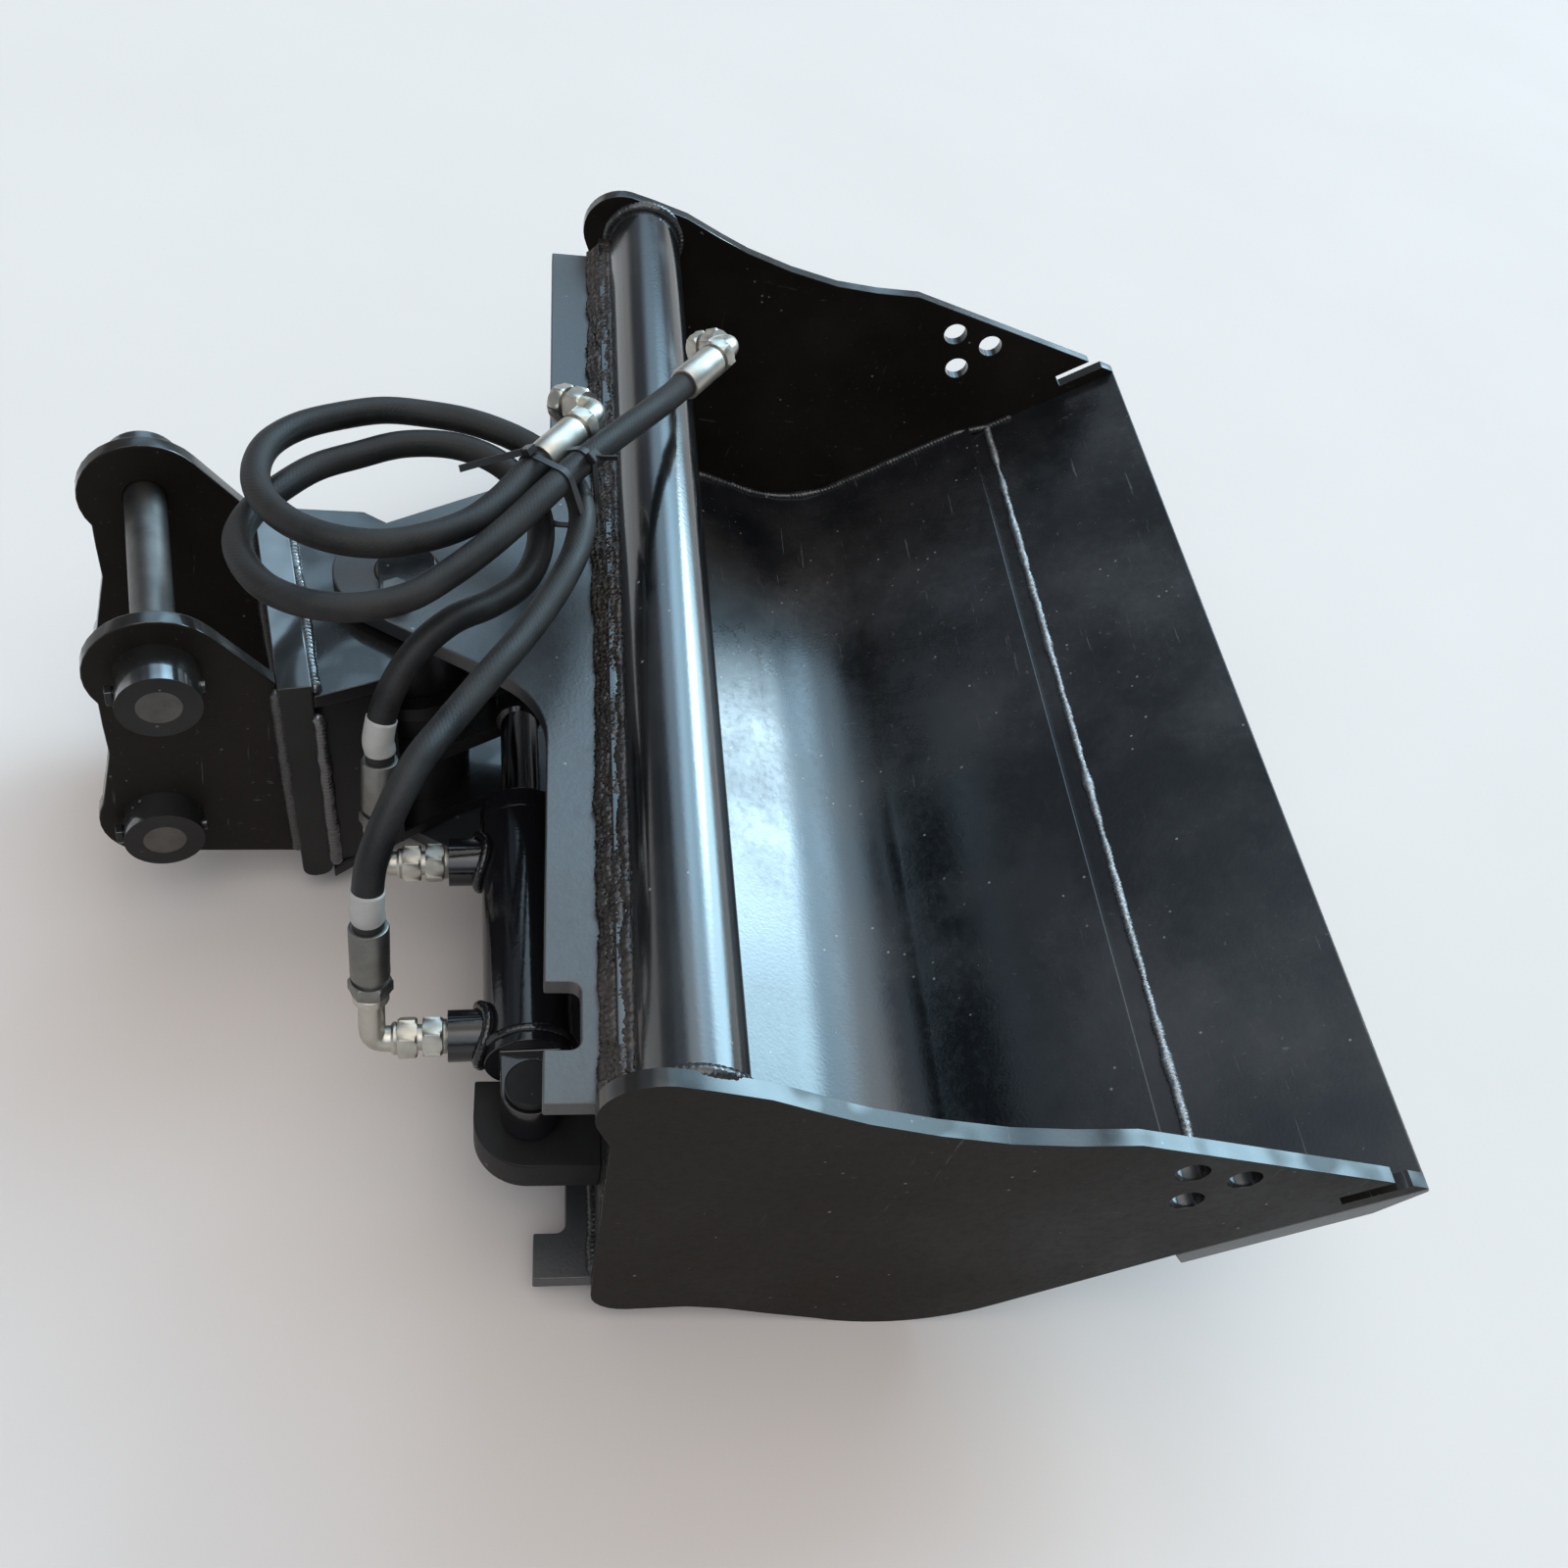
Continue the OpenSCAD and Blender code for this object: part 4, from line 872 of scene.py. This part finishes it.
# The support plate is welded to the tube in four heavy, rough passes: Y, Z and size.
TUBE_PASSES = ((-0.0762, 0.4702, 0.0048), (-0.0800, 0.4672, 0.0050),
               (-0.0838, 0.4634, 0.0050), (-0.0868, 0.4592, 0.0046))
for k, (y, z, size) in enumerate(TUBE_PASSES):
    across_bucket("weld_support_tube_%d" % (k + 1), y, z, size, lump=0.42,
                  ripple=0.0036 + 0.0005 * k, grit=0.11, mat=paint_band)
across_bucket("weld_support_top", FRONT_Y + PLATE + 0.001, TOP + 0.001, 0.0045)
across_bucket("weld_rear_top", REAR_Y - 0.001, TOP, 0.0045)
across_bucket("weld_top_tube_inside", TUBE[0] + 0.0085, TOP - 0.0095, 0.0035)
for key, x in (("near", SIDE + 0.001), ("far", BW - SIDE - 0.001)):
    bead("weld_tube_" + key, ring_path(W(x, *TUBE), ACROSS, TUBE_BEAD_R), 0.004, "bucket",
         closed=True)

# %% [markdown]
# The welds inside the bucket follow the shell's own inner face, which is
# found by looking from the centre of its bend.

# %% Beads inside the bucket
BUCKET_H = 0.470
BEND_CENTRE = (0.131 * BUCKET_H, 0.606 * BUCKET_H)
SWEEP = range(-92, 84, 4)                       # degrees about the bend's centre
SEAM_FROM_LIP, FLOOR_SLOPE = 0.127, math.radians(34)
SEAM_INSET = 0.012


def tree_of(ob):
    points = [ob.matrix_world @ v.co for v in ob.data.vertices]
    return BVHTree.FromPolygons(points, [tuple(p.vertices) for p in ob.data.polygons])


INSIDE = [tree_of(NODES[name]) for name in ("rolled_shell", "cutting_edge", "top_plate")]


def surface_point(start, direction):
    """Where a ray first meets the inside of the bucket."""
    hits = [tree.ray_cast(start, direction) for tree in INSIDE]
    hits = [(distance, point) for point, _, _, distance in hits if point is not None]
    return min(hits, key=lambda hit: hit[0])[1] if hits else None


for key, x in (("near", SIDE + 0.0015), ("far", BW - SIDE - 0.0015)):
    looks = [D(0, math.cos(a), math.sin(a)) for a in map(math.radians, SWEEP)]
    found = [surface_point(W(x, *BEND_CENTRE), direction) for direction in looks]
    bead("weld_inside_" + key, [point for point in found if point is not None], 0.0034,
         "bucket", lump=0.3)

seam = (SEAM_FROM_LIP * math.sin(FLOOR_SLOPE), SEAM_FROM_LIP * math.cos(FLOOR_SLOPE))
hit = surface_point(W(0.4, seam[0] - 0.06, seam[1] + 0.035), D(0, 0.829, -0.559))
seam_y, seam_z = -(hit - ORIGIN).dot(UP), (hit - ORIGIN).dot(ALONG)
bead("weld_seam", [W(SEAM_INSET, seam_y, seam_z), W(BW - SEAM_INSET, seam_y, seam_z)], 0.0027,
     "bucket", ripple=0.0024, lump=0.45, mat=silver_weld, grit=0.14)

# %% Beads of the head
HALF, RISE, THICK = 0.0915, 0.068, 0.020        # the base plate: half width, height, thickness
FOOT_DEPTH = 0.002                              # how near its base an ear's foot is looked for
HEAD_Y = FRONT_Y + 0.016                        # the head's open-side face
GUSSET_Y = (FRONT_Y + 0.03, 0.105)
front_y, front_x = HEAD_Y - 0.0015, HALF - 0.006
bead("weld_head_front", [H(-front_x, front_y, RISE - 0.0015), H(front_x, front_y, RISE - 0.0015)],
     0.0042, "tilt_head", mat=paint_bright_weld)
for key, s in (("near", -1), ("far", 1)):
    bead("weld_gusset_" + key, [H(s * (HALF - 0.003), y, RISE - 0.002) for y in GUSSET_Y],
         0.0042, "tilt_head", mat=paint_bright_weld)
for name in ("ear_near", "ear_far"):
    ear = NODES[name]
    local = [ear.matrix_world @ v.co - H(0, 0, RISE + THICK) for v in ear.data.vertices]
    foot = [q for q in local if abs(q.dot(HEAD_Z)) < FOOT_DEPTH]
    x0, x1 = min(q.dot(HEAD_X) for q in foot), max(q.dot(HEAD_X) for q in foot)
    y0, y1 = min(-q.dot(UP) for q in foot), max(-q.dot(UP) for q in foot)
    left, right = x0 - 0.001, x1 + 0.001
    for side, x in (("out", left if x0 < 0 else right), ("in", right if x0 < 0 else left)):
        bead("weld_%s_%s" % (name, side),
             [H(x, y0 + 0.003, RISE + THICK + 0.001), H(x, y1 - 0.003, RISE + THICK + 0.001)],
             0.004, "tilt_head")

# %% Beads of the cylinder
BARREL_R, PORT_BEAD_R, CAP_L = 0.0275, 0.0165, 0.032
for h in hoses:
    path = []
    for k in range(ROUND + 1):
        a = 2 * math.pi * k / ROUND
        aside = PORT_BEAD_R * math.sin(a)
        path.append(C(h["port"] + PORT_BEAD_R * math.cos(a),
                      math.sqrt(BARREL_R ** 2 - aside ** 2) + 0.0012, aside))
    bead("weld_port_" + h["kind"], path, 0.003, BARREL, closed=True, mat=paint_cylinder)
bead("weld_barrel_cap", ring_path(C(CAP_L), CYL_X, BARREL_R - 0.0012), 0.0024, BARREL,
     closed=True, mat=paint_cylinder)

# %% [markdown]
# ## Floor and light
# A plain pale floor under a soft sky with a few wide bright patches.

# %% Floor
FLOOR_TONES, FLOOR_HALF = ((0.56, 0.50, 0.465), (0.60, 0.54, 0.505)), 9
floor_mat, ft, fp = material("floor")
ft.links.new(mix(ft, noise(ft, coords(ft), 3, 4), *FLOOR_TONES), fp.inputs["Base Color"])
fp.inputs["Roughness"].default_value = 0.85
floor_mesh = bpy.data.meshes.new("floor")
corners = [(x * FLOOR_HALF, y * FLOOR_HALF, 0) for x, y in ((-1, -1), (1, -1), (1, 1), (-1, 1))]
floor_mesh.from_pydata(corners, [], [(0, 1, 2, 3)])
floor_mesh.materials.append(floor_mat)
floor = bpy.data.objects.new("floor", floor_mesh)
bpy.context.scene.collection.objects.link(floor)

# %% Sky
# Its tone from the horizon to overhead, and its bright patches, as azimuth,
# height, radius of the core, radius of the whole, in degrees, and colour.
SKY_TONES = [(0.0, (0.20, 0.20, 0.20)), (0.5, (0.20, 0.23, 0.27)), (0.78, (0.36, 0.46, 0.56)),
             (0.93, (1.9, 1.8, 1.7)), (1.0, (2.1, 2.0, 1.85))]
HORIZON_TONE = (0.78, 0.79, 0.80)
PATCHES = ((-49, 29, 8, 21, (4.8, 7.6, 9.4)), (-24, 45, 6, 21, (2.0, 3.3, 4.3)),
           (-37, 31, 3, 9, (9.0, 11.0, 12.0)), (4, 46, 6, 22, (0.95, 1.45, 1.85)),
           (160, 50, 8, 34, (1.8, 1.9, 2.0)))
world = bpy.data.worlds.new("sky")
bpy.context.scene.world = world
world.use_nodes = True
wt = world.node_tree
sky = wt.nodes["Background"]
look = wt.nodes.new("ShaderNodeTexCoord").outputs["Generated"]
split = wt.nodes.new("ShaderNodeSeparateXYZ")
wt.links.new(look, split.inputs[0])


def glow(azimuth, height, core, reach, colour):
    """A soft round patch of light in the sky."""
    a, e = math.radians(azimuth), math.radians(height)
    toward = (math.cos(a) * math.cos(e), math.sin(a) * math.cos(e), math.sin(e))
    dot = node(wt, "ShaderNodeVectorMath", operation="DOT_PRODUCT")
    dot.inputs[1].default_value = toward
    wt.links.new(look, dot.inputs[0])
    span = node(wt, "ShaderNodeMapRange", interpolation_type="SMOOTHSTEP")
    span.inputs["From Min"].default_value = math.cos(math.radians(reach))
    span.inputs["From Max"].default_value = math.cos(math.radians(core))
    wt.links.new(dot.outputs["Value"], span.inputs["Value"])
    return mix(wt, span.outputs["Result"], (0.0, 0.0, 0.0), colour)


def combine(a, b, how="ADD"):
    n = node(wt, "ShaderNodeVectorMath", operation=how)
    wt.links.new(a, n.inputs[0])
    wt.links.new(b, n.inputs[1])
    return n.outputs[0]


tone = ramp(wt, split.outputs["Z"], SKY_TONES)
clouds = ramp(wt, noise(wt, look, 2.2, 3, 0.5), [(0.35, 0.55), (0.65, 1.25)])
horizon = ramp(wt, split.outputs["Z"], [(0.15, 1.0), (0.27, 0.0)])
light = mix(wt, horizon, combine(tone, clouds, "MULTIPLY"), HORIZON_TONE)
for patch in PATCHES:
    light = combine(light, glow(*patch))
wt.links.new(light, sky.inputs["Color"])
sky.inputs["Strength"].default_value = 1.0
bpy.context.scene.view_settings.view_transform = "Standard"
print("lit")
